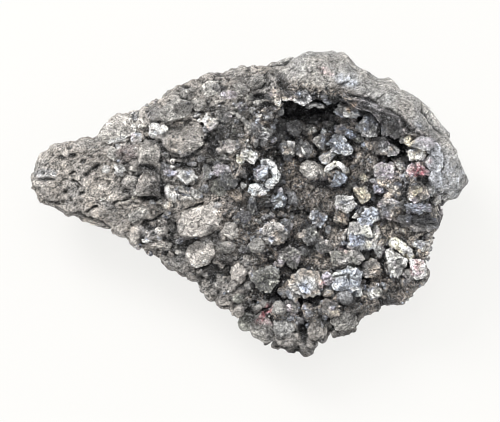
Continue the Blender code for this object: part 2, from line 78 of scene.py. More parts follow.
class Tint(Enum):
    """The colours of the stone, as linear red, green and blue."""

    ROCK = (0.190, 0.178, 0.166)
    RIM = (0.192, 0.188, 0.182)
    MATRIX = (0.128, 0.113, 0.100)
    SAND = (0.300, 0.278, 0.255)
    LAYERED = (0.050, 0.048, 0.051)
    STEEL = (0.150, 0.152, 0.160)
    DARK = (0.046, 0.046, 0.050)
    GREY = (0.190, 0.184, 0.174)
    PALE = (0.320, 0.305, 0.288)
    WHITE = (0.560, 0.560, 0.550)
    NODULE = (0.470, 0.442, 0.415)
    BRIGHT = (0.640, 0.620, 0.590)
    LIGHT = (0.400, 0.398, 0.390)
    ICE = (0.365, 0.400, 0.465)
    BLUE = (0.210, 0.238, 0.305)
    LILAC = (0.350, 0.318, 0.362)
    OLIVE = (0.150, 0.151, 0.136)
    TAN = (0.220, 0.190, 0.160)
    CREAM = (0.500, 0.450, 0.345)
    BUTTER = (0.740, 0.680, 0.540)
    SNOW = (0.600, 0.635, 0.670)
    ORANGE = (0.330, 0.250, 0.190)
    PINK = (0.300, 0.200, 0.215)
    RUBY = (0.240, 0.055, 0.075)
    BLUEISH = (0.310, 0.320, 0.345)


class Form(Enum):
    """The ways that a crystal or nodule grew."""

    BLOCKY = "a few large stepped faces"
    GRAINY = "many small crumpled faces"
    LEAFED = "curved leaves that lie over each other"
    ROUNDED = "a nodule wrinkled all over"
    LUMP = "a lump of the rough rock"
    STAR = "spikes that radiate"
    CUPPED = "a raised rim round a hollow middle"
    HORSESHOE = "a raised rim that is open on one side"

    @property
    def cells(self) -> tuple[float, float, float]:
        """The share of the width that one face takes, how far the faces step, and how strong the leaves are."""
        return {
            Form.BLOCKY: (0.46, 0.36, 0.15), Form.GRAINY: (0.24, 0.62, 0.25), Form.LEAFED: (0.34, 0.38, 0.40),
            Form.STAR: (0.30, 0.50, 0.10), Form.CUPPED: (0.34, 0.34, 0.25), Form.HORSESHOE: (0.34, 0.34, 0.25),
        }[self]


@dataclass(frozen=True)
class Growth:
    """One crystal or nodule: three sizes in mm, form, colour, turn in degrees and the share that is sunk."""

    width: float
    breadth: float
    height: float
    form: Form
    tint: Tint
    turn: float = 0.0
    sunk: float = 0.35


@dataclass(frozen=True)
class Patch:
    """A place of stain or colour, or a dark patch of painted shade: its middle, its two radii in mm, its colour and
    strength, and its turn.
    """

    u: float
    v: float
    across: float
    along: float
    tint: Tint
    strength: float
    turn: float = 0.0


B, G, L, R = Form.BLOCKY, Form.GRAINY, Form.LEAFED, Form.ROUNDED
S, C, H, K = Form.STAR, Form.CUPPED, Form.HORSESHOE, Form.LUMP

# The hues that play over the dark crystals.
ACCENTS = (Tint.ICE, Tint.LILAC, Tint.OLIVE, Tint.TAN, Tint.BLUE)

# Crystals of the first colours are shaded more softly, and crystals of the second keep their colour pure.
SOFT_TINTS = (Tint.LIGHT, Tint.BRIGHT, Tint.WHITE, Tint.SNOW, Tint.PALE, Tint.LILAC)
PURE_TINTS = (Tint.DARK, Tint.LAYERED, Tint.BRIGHT, Tint.WHITE, Tint.SNOW, Tint.BUTTER)

# The crystals of the hollow that can be told apart: U, V, width, breadth, form, tint and a turn if any.
HOLLOW_CRYSTALS = (
    (2.8, 6.6, 3.0, 3.0, B, Tint.STEEL, 60), (2.0, 3.1, 4.2, 2.2, B, Tint.SNOW, -6),
    (7.0, 0.8, 3.2, 3.6, S, Tint.ICE, 20), (0.5, -0.6, 2.2, 3.2, C, Tint.STEEL), (9.6, 1.0, 2.6, 2.8, R, Tint.STEEL),
    (14.2, 4.0, 1.8, 1.8, B, Tint.TAN), (-2.3, 9.6, 1.4, 2.3, B, Tint.BUTTER, 15),
    (-0.2, 11.2, 2.8, 3.6, B, Tint.LIGHT, 10), (2.4, 15.6, 5.2, 5.4, G, Tint.STEEL, 60),
    (6.0, 17.6, 4.0, 3.6, G, Tint.DARK), (-9.4, 7.3, 2.6, 3.0, B, Tint.OLIVE),
    (-6.8, 7.8, 2.8, 2.2, B, Tint.LILAC, 30), (-5.0, 5.9, 4.4, 3.8, G, Tint.STEEL),
    (-6.4, 9.8, 3.6, 2.4, G, Tint.OLIVE), (-4.8, 12.6, 3.0, 2.6, K, Tint.GREY),
    (23.2, 21.7, 6.4, 4.6, B, Tint.LIGHT, 5), (14.8, 23.7, 4.8, 2.4, L, Tint.WHITE, 10),
    (17.7, 23.6, 1.8, 1.8, B, Tint.STEEL), (11.6, 24.0, 4.2, 3.0, G, Tint.STEEL),
    (9.0, 24.8, 3.4, 2.8, G, Tint.TAN, 20), (28.1, 17.6, 4.4, 4.2, C, Tint.STEEL, 40),
    (25.6, 17.4, 2.8, 3.0, G, Tint.OLIVE), (32.8, 17.2, 5.0, 4.4, G, Tint.LAYERED, -20),
    (30.9, 12.8, 6.0, 4.4, B, Tint.STEEL, -15), (20.8, 13.4, 4.0, 4.8, L, Tint.ICE, 40),
    (22.0, 16.4, 4.0, 2.8, B, Tint.BLUE, -20), (17.0, 16.0, 1.3, 1.6, B, Tint.SNOW),
    (12.6, 12.2, 3.2, 3.8, L, Tint.STEEL, 70), (8.6, 13.0, 3.6, 3.2, B, Tint.GREY),
    (7.4, 15.4, 3.2, 2.6, G, Tint.DARK), (16.4, 13.8, 3.4, 2.8, L, Tint.GREY, 30),
    (13.4, 16.9, 3.4, 2.6, B, Tint.GREY), (10.4, 17.4, 3.2, 3.0, G, Tint.DARK), (18.0, 17.7, 3.4, 2.4, B, Tint.OLIVE),
    (13.7, 7.6, 4.0, 4.0, R, Tint.PALE), (16.4, 7.4, 2.8, 3.8, B, Tint.GREY, 10),
    (20.4, 5.2, 3.2, 3.2, B, Tint.BLUE, -10), (17.9, 10.8, 3.2, 2.6, B, Tint.PALE, 30),
    (24.4, 13.2, 2.2, 1.8, B, Tint.TAN), (24.8, 15.2, 3.0, 2.0, G, Tint.OLIVE),
    (36.7, 14.0, 2.0, 2.4, B, Tint.CREAM, 30), (38.0, 11.2, 4.0, 3.2, G, Tint.BRIGHT),
    (38.4, 7.6, 4.0, 3.0, G, Tint.PINK, -20), (36.8, 7.2, 2.0, 2.4, B, Tint.PINK),
    (40.6, 9.3, 2.2, 1.8, B, Tint.PALE), (39.6, 13.5, 5.0, 2.4, K, Tint.STEEL, -10),
    (31.3, 6.9, 4.2, 4.2, L, Tint.LILAC, 50), (34.8, 8.4, 4.0, 4.8, L, Tint.PALE, 20),
    (30.6, 3.2, 4.0, 3.0, B, Tint.LILAC), (33.5, 3.4, 3.2, 3.8, L, Tint.PALE), (26.2, 5.8, 1.8, 1.8, B, Tint.CREAM),
    (23.4, 3.8, 2.2, 2.0, B, Tint.OLIVE), (22.0, 0.2, 4.0, 3.6, L, Tint.LIGHT),
    (25.6, 1.9, 3.0, 3.6, B, Tint.CREAM, 60), (26.0, -0.8, 2.8, 2.2, G, Tint.BLUE),
    (21.0, -3.3, 3.6, 3.4, B, Tint.TAN), (15.6, -3.7, 3.2, 4.4, B, Tint.ICE, 50),
    (18.0, -6.3, 1.5, 1.5, B, Tint.WHITE), (14.0, -7.8, 4.6, 4.0, G, Tint.STEEL),
    (17.2, -10.6, 2.8, 3.0, B, Tint.GREY), (13.2, -10.8, 3.2, 2.6, G, Tint.DARK),
    (9.6, -12.4, 4.8, 4.0, G, Tint.GREY, -20), (27.2, -3.6, 4.6, 4.0, B, Tint.ICE),
    (25.6, -7.8, 6.2, 5.6, L, Tint.LIGHT), (28.6, -6.8, 2.6, 3.8, L, Tint.LIGHT), (32.4, -1.2, 6.0, 4.0, G, Tint.TAN),
    (38.6, 2.0, 4.4, 3.2, B, Tint.TAN, 10), (41.4, 3.2, 2.8, 2.6, G, Tint.OLIVE),
    (38.5, -1.2, 6.4, 2.4, L, Tint.BLUE, -4), (42.6, 0.6, 2.0, 1.8, B, Tint.PALE, 20),
    (39.2, -4.1, 7.8, 3.4, G, Tint.DARK, -3), (33.2, -13.8, 4.2, 6.2, B, Tint.LIGHT, 6),
    (38.4, -15.0, 3.6, 4.0, G, Tint.BRIGHT), (30.2, -10.8, 3.0, 2.8, B, Tint.BRIGHT),
    (39.0, -9.4, 3.0, 1.8, B, Tint.ICE), (27.6, -15.4, 4.0, 3.8, B, Tint.PALE), (22.4, -13.2, 5.8, 4.4, B, Tint.PALE),
    (25.8, -12.8, 3.6, 3.2, B, Tint.GREY), (19.8, -13.6, 3.4, 3.0, B, Tint.STEEL),
    (22.2, -17.6, 6.0, 5.8, B, Tint.ICE), (17.6, -18.0, 3.4, 2.8, G, Tint.LILAC),
    (12.7, -19.2, 5.8, 5.8, B, Tint.LIGHT, 20), (9.6, -20.2, 4.4, 3.6, B, Tint.PALE),
    (24.6, -20.2, 2.2, 2.4, B, Tint.ICE, 20), (21.8, -21.8, 3.4, 3.2, R, Tint.STEEL),
    (18.5, -20.0, 4.0, 3.4, B, Tint.LIGHT), (18.9, -24.2, 4.4, 2.6, B, Tint.TAN, -15),
    (14.2, -23.9, 2.0, 1.4, B, Tint.PALE), (9.6, -24.0, 2.8, 3.2, B, Tint.GREY), (6.8, -24.4, 3.2, 3.0, R, Tint.GREY),
    (3.6, -23.2, 2.8, 2.0, R, Tint.GREY), (1.8, -24.2, 1.8, 1.6, R, Tint.GREY),
    (4.6, -7.2, 6.2, 4.8, G, Tint.PALE, 10), (1.6, -9.8, 3.4, 3.2, R, Tint.GREY),
    (8.2, -5.6, 3.6, 2.8, G, Tint.STEEL, -20), (4.0, -17.2, 4.8, 4.6, G, Tint.OLIVE),
    (6.5, -14.0, 2.4, 2.2, S, Tint.LILAC), (0.6, -16.4, 1.8, 2.8, L, Tint.PALE),
    (-0.1, -19.1, 2.2, 2.2, R, Tint.GREY), (7.6, -18.8, 1.6, 1.0, B, Tint.CREAM, 40),
    (36.6, -16.6, 3.0, 2.8, B, Tint.GREY), (35.6, -18.2, 2.0, 1.6, B, Tint.TAN),
    (28.2, -20.8, 3.2, 3.0, B, Tint.PALE), (27.0, -21.0, 1.2, 2.4, B, Tint.PALE, 15),
    (30.6, -19.2, 1.6, 1.4, B, Tint.ICE), (-1.6, -3.4, 2.6, 2.4, G, Tint.DARK),
)

# Curved ridges of bright blocks in the hollow: half width, tint, and U, V and rise along the ridge.
CRESTS = (
    (0.98, Tint.SNOW, (
        (2.3, 8.7, 1.8), (3.5, 9.1, 2.4), (4.7, 8.5, 2.8), (5.9, 7.1, 3.0), (6.3, 5.9, 2.8), (5.3, 5.0, 2.4),
    )),
    (0.85, Tint.SNOW, ((5.4, 5.1, 2.2), (4.4, 4.6, 2.0), (3.9, 3.4, 1.6))),
    (0.8, Tint.ICE, ((0.9, 5.9, 1.8), (2.4, 6.3, 2.6), (3.6, 7.2, 2.6), (3.0, 8.1, 2.2))),
    (0.85, Tint.SNOW, ((0.3, 3.0, 1.6), (1.5, 3.6, 2.4), (3.4, 3.3, 2.0))),
    (1.25, Tint.BUTTER, (
        (31.9, -8.7, 1.8), (33.7, -9.3, 2.2), (35.3, -10.5, 2.6), (36.5, -12.0, 2.8), (36.9, -13.6, 2.6),
    )),
    (0.4, Tint.ICE, ((5.2, 0.9, 1.2), (6.4, 1.4, 1.8), (7.2, 2.4, 2.0))),
    (0.4, Tint.ICE, ((7.4, 1.6, 2.2), (8.1, 0.4, 2.0), (7.6, -1.0, 1.4))),
    (0.34, Tint.STEEL, ((3.6, -0.6, 0.8), (5.2, -0.5, 1.2), (6.4, 0.2, 1.6))),
    (0.66, Tint.BUTTER, (
        (17.2, 6.6, 2.6), (17.9, 7.9, 2.9), (19.2, 8.9, 3.1), (20.6, 8.8, 3.1), (21.4, 7.8, 2.9), (22.9, 7.0, 2.6),
    )),
    (0.36, Tint.WHITE, ((14.4, -2.6, 1.8), (15.4, -2.2, 2.2), (17.0, -3.6, 2.2), (17.2, -4.6, 1.8))),
    (0.8, Tint.SNOW, ((25.0, -1.9, 2.2), (26.6, -1.8, 2.6), (28.2, -2.3, 2.6), (29.2, -4.0, 2.2))),
    (0.38, Tint.PALE, ((21.7, -9.0, 2.2), (21.6, -7.4, 2.6), (22.6, -6.0, 2.8), (24.4, -5.4, 2.8))),
    (0.42, Tint.CREAM, ((23.2, -9.2, 2.6), (23.6, -10.4, 2.2), (23.4, -11.6, 1.6))),
    (0.38, Tint.PALE, ((26.6, -8.4, 2.6), (27.6, -9.4, 2.4), (29.0, -8.0, 2.4), (29.8, -6.4, 2.2))),
    (0.42, Tint.PALE, ((29.8, 0.2, 2.2), (31.6, -0.4, 2.4), (33.6, -0.3, 2.4), (34.6, -0.9, 2.0))),
    (0.4, Tint.ICE, ((20.2, -16.2, 2.4), (22.0, -15.7, 2.8), (24.2, -16.4, 2.6), (24.8, -18.0, 2.2))),
    (0.38, Tint.WHITE, ((12.0, 13.4, 1.8), (12.1, 12.0, 2.2), (12.8, 10.9, 1.8))),
    (0.46, Tint.ICE, ((20.2, 14.9, 2.0), (20.8, 13.6, 2.6), (21.8, 12.2, 2.2))),
    (0.6, Tint.PALE, ((12.8, 22.1, 5.6), (15.0, 22.6, 6.6), (17.4, 22.1, 5.8))),
    (0.55, Tint.CREAM, ((36.8, 1.4, 2.2), (38.2, 2.6, 2.6), (39.6, 3.2, 2.4))),
)

# Crystals and lumps on the broken rim and the shoulder, grown on the rock: the same columns as the hollow's.
ROCK_CRYSTALS = (
    (21.4, -27.1, 6.4, 4.2, K, Tint.GREY), (7.7, -29.0, 4.8, 6.0, R, Tint.LIGHT, 12),
    (15.0, -28.6, 3.0, 5.4, K, Tint.ROCK, -10), (3.0, -28.6, 6.6, 5.4, K, Tint.GREY, -42),
    (-33.1, 7.8, 2.0, 2.0, R, Tint.LIGHT), (-25.6, 3.6, 2.9, 3.8, K, Tint.GREY, 20),
    (-22.8, 4.2, 5.6, 5.4, K, Tint.ROCK), (-19.7, 16.9, 1.8, 1.7, B, Tint.BRIGHT),
    (-6.0, 20.9, 4.8, 4.0, G, Tint.GREY), (-18.6, 6.9, 3.4, 1.6, L, Tint.LILAC),
    (-17.8, 8.3, 1.2, 1.0, B, Tint.WHITE), (-19.6, 8.4, 2.6, 2.0, B, Tint.STEEL),
    (-26.0, 14.6, 3.0, 2.4, B, Tint.PALE), (-30.2, 12.9, 1.7, 1.2, B, Tint.LIGHT),
    (-31.3, 11.2, 3.2, 3.0, K, Tint.GREY), (-28.4, 11.7, 1.1, 0.9, B, Tint.WHITE),
    (-12.0, 20.2, 1.9, 1.7, B, Tint.BRIGHT, 30), (-17.2, 21.4, 7.6, 4.6, K, Tint.GREY, 20),
    (-14.4, 24.8, 3.4, 2.6, K, Tint.GREY, 30), (-11.8, 22.8, 3.4, 3.0, K, Tint.GREY, 20),
    (-9.2, 25.8, 4.2, 3.4, K, Tint.GREY), (1.4, 27.8, 4.4, 3.0, K, Tint.GREY, 10),
    (1.9, 19.9, 1.6, 1.3, B, Tint.PALE, -30), (4.3, 20.2, 2.4, 1.6, B, Tint.GREY),
    (0.0, 24.3, 2.0, 1.8, B, Tint.GREY), (-2.2, 26.0, 3.4, 2.6, K, Tint.GREY), (6.4, 24.6, 3.2, 4.0, B, Tint.TAN),
    (5.6, 21.9, 4.4, 1.6, L, Tint.TAN, 25), (-13.4, 8.8, 2.0, 1.3, B, Tint.PALE),
    (-14.2, 2.4, 6.6, 2.8, L, Tint.GREY, -14), (-10.4, 3.0, 2.4, 2.2, G, Tint.STEEL),
    (-7.2, 3.4, 4.0, 3.6, K, Tint.OLIVE), (-3.2, 1.8, 3.0, 2.6, K, Tint.TAN), (-1.6, 3.9, 1.3, 1.3, B, Tint.WHITE),
    (-30.4, 16.8, 8.0, 4.4, K, Tint.PALE, 24), (-25.2, -2.4, 6.0, 4.2, K, Tint.GREY, 30),
    (-27.0, 4.6, 4.6, 3.6, K, Tint.PALE, 20), (42.4, 9.6, 3.6, 6.0, K, Tint.BLUEISH),
    (41.9, 12.4, 3.2, 3.0, K, Tint.BLUEISH), (42.6, 5.4, 3.2, 4.0, K, Tint.BLUEISH),
    (-0.4, -27.6, 4.0, 4.0, K, Tint.OLIVE), (-23.6, -8.6, 2.2, 1.4, B, Tint.WHITE, -10),
    (-7.0, -17.8, 1.6, 1.4, K, Tint.GREY), (-2.6, -21.8, 2.4, 2.4, K, Tint.OLIVE),
    (16.8, -27.4, 2.6, 3.0, G, Tint.DARK),
)

# Ridges of the shoulder, in the way of the hollow's.
ROCK_CRESTS = (
    (0.62, Tint.GREY, ((-4.7, 20.9, 1.0), (-3.0, 20.2, 1.2), (-1.4, 18.9, 1.2), (-0.1, 17.4, 1.0), (0.1, 15.6, 0.8))),
    (0.66, Tint.PALE, ((-18.2, 3.9, 1.0), (-17.6, 2.2, 1.4), (-17.3, 0.2, 1.2))),
    (0.4, Tint.PALE, ((-16.4, 2.8, 1.4), (-14.0, 2.4, 1.6), (-11.6, 0.9, 1.2))),
    (0.4, Tint.GREY, ((-16.2, 0.8, 1.2), (-14.0, 1.2, 1.2), (-12.4, 0.2, 1.0))),
    (0.46, Tint.WHITE, ((-31.1, 8.7, 0.9), (-30.5, 7.6, 1.2), (-29.5, 7.2, 1.3), (-28.6, 8.1, 1.0))),
    (0.5, Tint.PALE, ((-11.8, 13.2, 0.8), (-10.4, 14.0, 0.9))),
    (0.36, Tint.PALE, ((-9.4, 27.6, 0.6), (-7.4, 27.7, 0.6), (-5.6, 27.3, 0.6))),
)

# The lone crystals of the shoulder, each in the place of its own solid: U, V, width, breadth, height, form,
# tint, turn and sunk share.
SHOULDER_CRYSTALS = {
    "large_pale_nodule": (-11.6, -4.0, 10.8, 7.2, 6.6, R, Tint.NODULE, 24, 0.42),
    "lower_pale_nodule": (-11.4, -11.6, 7.2, 5.8, 5.8, R, Tint.NODULE, 34, 0.40),
    "small_pale_nodule": (-2.7, -16.2, 3.7, 5.0, 4.6, R, Tint.NODULE, 12, 0.42),
    "twin_nodule_upper": (-4.6, -6.4, 4.4, 4.2, 4.2, R, Tint.PALE, 0, 0.42),
    "twin_nodule_lower": (-5.4, -10.1, 4.6, 3.1, 3.8, R, Tint.GREY, -6, 0.45),
    "grey_knob": (-23.3, 11.4, 5.8, 5.4, 5.4, R, Tint.PALE, 30, 0.40),
    "ringed_crystal": (-14.6, 6.0, 4.9, 3.7, 4.0, C, Tint.LIGHT, -22, 0.42),
    "chipped_crystal": (-18.2, 2.6, 2.8, 4.6, 4.0, B, Tint.BRIGHT, 14, 0.45),
    "bright_crystal": (-21.9, 17.0, 3.7, 3.5, 4.4, C, Tint.BRIGHT, 40, 0.42),
    "pale_square_crystal": (-9.3, 19.2, 3.2, 3.7, 4.2, C, Tint.BRIGHT, 20, 0.40),
    "nose_crystal": (-29.9, 7.8, 3.1, 2.3, 3.2, H, Tint.LIGHT, 90, 0.45),
}

# Stains and coloured places, none of them raised; most of the dark ones are painted shade in gaps, pits and crevices:
# U, V, two radii, the colour, its strength and a turn if any.
PATCHES = tuple(Patch(*row) for row in (
    (38.7, 7.1, 2.0, 1.4, Tint.RUBY, 0.9, -10), (36.8, 7.6, 1.2, 1.2, Tint.PINK, 0.6),
    (39.4, 5.4, 1.6, 0.9, Tint.DARK, 0.9, -10), (38.2, 11.2, 2.2, 1.5, Tint.CREAM, 0.95),
    (36.7, 14.0, 1.0, 1.4, Tint.CREAM, 0.95), (37.8, 15.3, 0.9, 0.7, Tint.TAN, 0.8),
    (40.6, 9.4, 1.3, 0.9, Tint.PINK, 0.4), (35.0, 12.0, 1.3, 1.9, Tint.DARK, 0.9, 20),
    (23.0, 21.5, 1.0, 1.9, Tint.ORANGE, 0.85, -30), (20.6, 22.3, 1.4, 1.4, Tint.STEEL, 0.5),
    (25.6, 2.2, 1.0, 1.8, Tint.CREAM, 0.9, -25), (26.2, 5.8, 0.8, 0.8, Tint.CREAM, 0.8),
    (38.2, 3.2, 1.3, 0.8, Tint.CREAM, 0.75, 20), (31.8, 7.0, 2.0, 1.8, Tint.LILAC, 0.6, 20),
    (34.2, 8.6, 1.5, 1.3, Tint.ORANGE, 0.4), (20.9, -3.3, 1.4, 1.4, Tint.ORANGE, 0.55),
    (20.8, -4.5, 1.4, 0.5, Tint.CREAM, 0.6), (21.6, 28.0, 3.4, 1.5, Tint.ICE, 0.5, -28),
    (17.6, 29.8, 2.2, 0.9, Tint.PINK, 0.4, -20), (44.8, 6.0, 5.0, 5.4, Tint.BLUEISH, 0.7),
    (40.4, 13.8, 3.0, 1.4, Tint.LILAC, 0.5, -8), (38.4, 17.8, 2.0, 0.8, Tint.BLUE, 0.45, -35),
    (33.2, -8.9, 1.6, 1.0, Tint.CREAM, 1.0, -24), (35.2, -10.0, 1.6, 1.0, Tint.CREAM, 1.0, -44),
    (36.6, -11.9, 1.4, 1.0, Tint.CREAM, 1.0, -50), (38.6, -15.6, 1.8, 1.6, Tint.RUBY, 0.35),
    (38.0, -13.8, 2.0, 1.2, Tint.PINK, 0.75), (38.9, -16.6, 1.2, 1.0, Tint.LILAC, 0.6),
    (3.7, -24.9, 0.9, 2.2, Tint.RUBY, 0.85, -35), (2.2, -27.2, 1.5, 0.9, Tint.RUBY, 0.6, 20),
    (4.4, -27.4, 1.4, 0.8, Tint.PINK, 0.5, -20), (16.6, -18.8, 0.9, 1.1, Tint.RUBY, 0.45),
    (17.9, -17.5, 1.6, 0.9, Tint.LILAC, 0.9, -20), (22.4, -17.0, 2.0, 1.6, Tint.ICE, 0.5),
    (24.6, -20.2, 1.0, 1.1, Tint.ICE, 0.9), (21.6, -10.9, 1.9, 0.8, Tint.RUBY, 0.28, -8),
    (12.7, -19.4, 1.9, 1.6, Tint.BLUE, 0.5), (19.4, -25.0, 1.5, 0.6, Tint.CREAM, 0.7, 10),
    (28.0, -9.6, 1.3, 0.7, Tint.CREAM, 0.7), (27.2, -2.8, 2.2, 1.2, Tint.ICE, 0.6, -10),
    (-34.6, -1.6, 2.8, 1.4, Tint.TAN, 0.35, -20), (-34.8, -3.6, 2.4, 1.0, Tint.TAN, 0.35, -28),
    (-28.0, -5.8, 2.0, 1.1, Tint.TAN, 0.45, -15), (-37.6, 0.0, 2.4, 0.8, Tint.TAN, 0.25, -18),
    (6.8, 24.8, 1.6, 2.0, Tint.TAN, 0.3), (1.8, 1.5, 0.9, 0.6, Tint.ORANGE, 0.7),
    (-4.8, 12.8, 1.6, 1.4, Tint.PINK, 0.18), (-11.6, 22.8, 1.8, 1.6, Tint.TAN, 0.1),
    (-28.4, 11.4, 2.4, 2.4, Tint.RUBY, 0.16), (-27.8, 11.8, 2.0, 2.4, Tint.DARK, 0.45),
    (-46.6, 6.9, 3.2, 0.9, Tint.ICE, 0.45, 4), (-47.0, 5.4, 2.8, 0.6, Tint.DARK, 0.45),
    (-2.3, 9.8, 0.9, 1.4, Tint.CREAM, 0.5, 10), (39.0, -9.3, 1.6, 0.9, Tint.ICE, 0.7),
    (-6.8, 17.0, 2.0, 3.4, Tint.DARK, 0.8, -14), (-8.6, 12.4, 1.9, 2.6, Tint.DARK, 0.85),
    (-7.0, 26.3, 2.0, 1.0, Tint.DARK, 0.95, -6), (-4.9, 24.8, 1.9, 1.0, Tint.LILAC, 0.7),
    (-14.6, 26.2, 1.3, 0.5, Tint.DARK, 0.9), (-14.2, 22.7, 1.2, 0.4, Tint.DARK, 0.8),
    (2.6, 24.2, 2.2, 0.8, Tint.DARK, 0.9), (-22.0, 20.6, 1.7, 2.2, Tint.STEEL, 0.6),
    (-22.6, 14.4, 1.8, 0.8, Tint.DARK, 0.85, -20), (-20.0, 12.2, 0.8, 2.4, Tint.DARK, 0.8, 12),
    (-23.6, 8.2, 2.4, 0.9, Tint.DARK, 0.9, -10), (-20.2, 4.0, 0.9, 3.0, Tint.DARK, 0.9, 8),
    (-22.4, 1.2, 2.6, 0.7, Tint.DARK, 0.85), (-15.0, 8.7, 3.2, 0.7, Tint.DARK, 0.75, -8),
    (-1.0, 7.4, 1.0, 2.8, Tint.DARK, 0.7, -35), (27.4, -11.2, 2.2, 0.7, Tint.DARK, 0.9, -8),
    (17.4, 4.7, 2.6, 1.2, Tint.DARK, 0.8, -12), (23.4, -22.6, 2.8, 1.0, Tint.DARK, 0.9, 10),
    (12.8, -22.9, 2.8, 0.8, Tint.DARK, 0.9, -10), (12.1, -29.0, 1.2, 4.4, Tint.DARK, 0.95, 8),
    (-21.8, 3.0, 2.4, 2.8, Tint.DARK, 0.45), (4.8, -31.2, 0.8, 2.6, Tint.DARK, 0.7, 20),
    (-5.4, -0.6, 3.0, 2.2, Tint.DARK, 0.55), (-15.6, 10.8, 3.6, 0.8, Tint.DARK, 0.85, -8),
    (-9.8, 15.6, 0.9, 2.8, Tint.DARK, 0.8), (-5.6, -13.2, 2.2, 1.6, Tint.DARK, 0.6),
    (-17.6, -6.6, 1.0, 3.0, Tint.DARK, 0.75, -20), (-7.4, -8.2, 1.0, 2.2, Tint.DARK, 0.7),
    (0.6, -21.4, 3.4, 1.2, Tint.DARK, 0.6, -20), (3.4, 22.2, 2.8, 1.6, Tint.DARK, 0.6),
    (16.2, 4.6, 3.6, 1.6, Tint.DARK, 0.75, -12), (35.6, -6.2, 6.6, 1.9, Tint.SAND, 0.8, -8),
    (30.4, -13.0, 1.8, 2.0, Tint.SAND, 0.5), (30.2, -10.8, 1.6, 1.3, Tint.LILAC, 0.5),
    (18.6, -8.4, 2.6, 2.8, Tint.SAND, 0.3), (-47.0, 8.6, 3.6, 3.0, Tint.RIM, 0.5),
    (-30.0, 17.0, 4.4, 2.6, Tint.PALE, 0.3, 24), (-23.4, -7.0, 2.4, 2.0, Tint.STEEL, 0.6),
    (28.0, 9.8, 2.4, 2.4, Tint.MATRIX, 0.4), (15.4, 22.6, 2.8, 0.8, Tint.ICE, 0.6, 10),
    (0.0, -25.0, 1.5, 3.0, Tint.DARK, 0.6, 15), (-1.6, -19.6, 2.6, 0.6, Tint.DARK, 0.8),
))
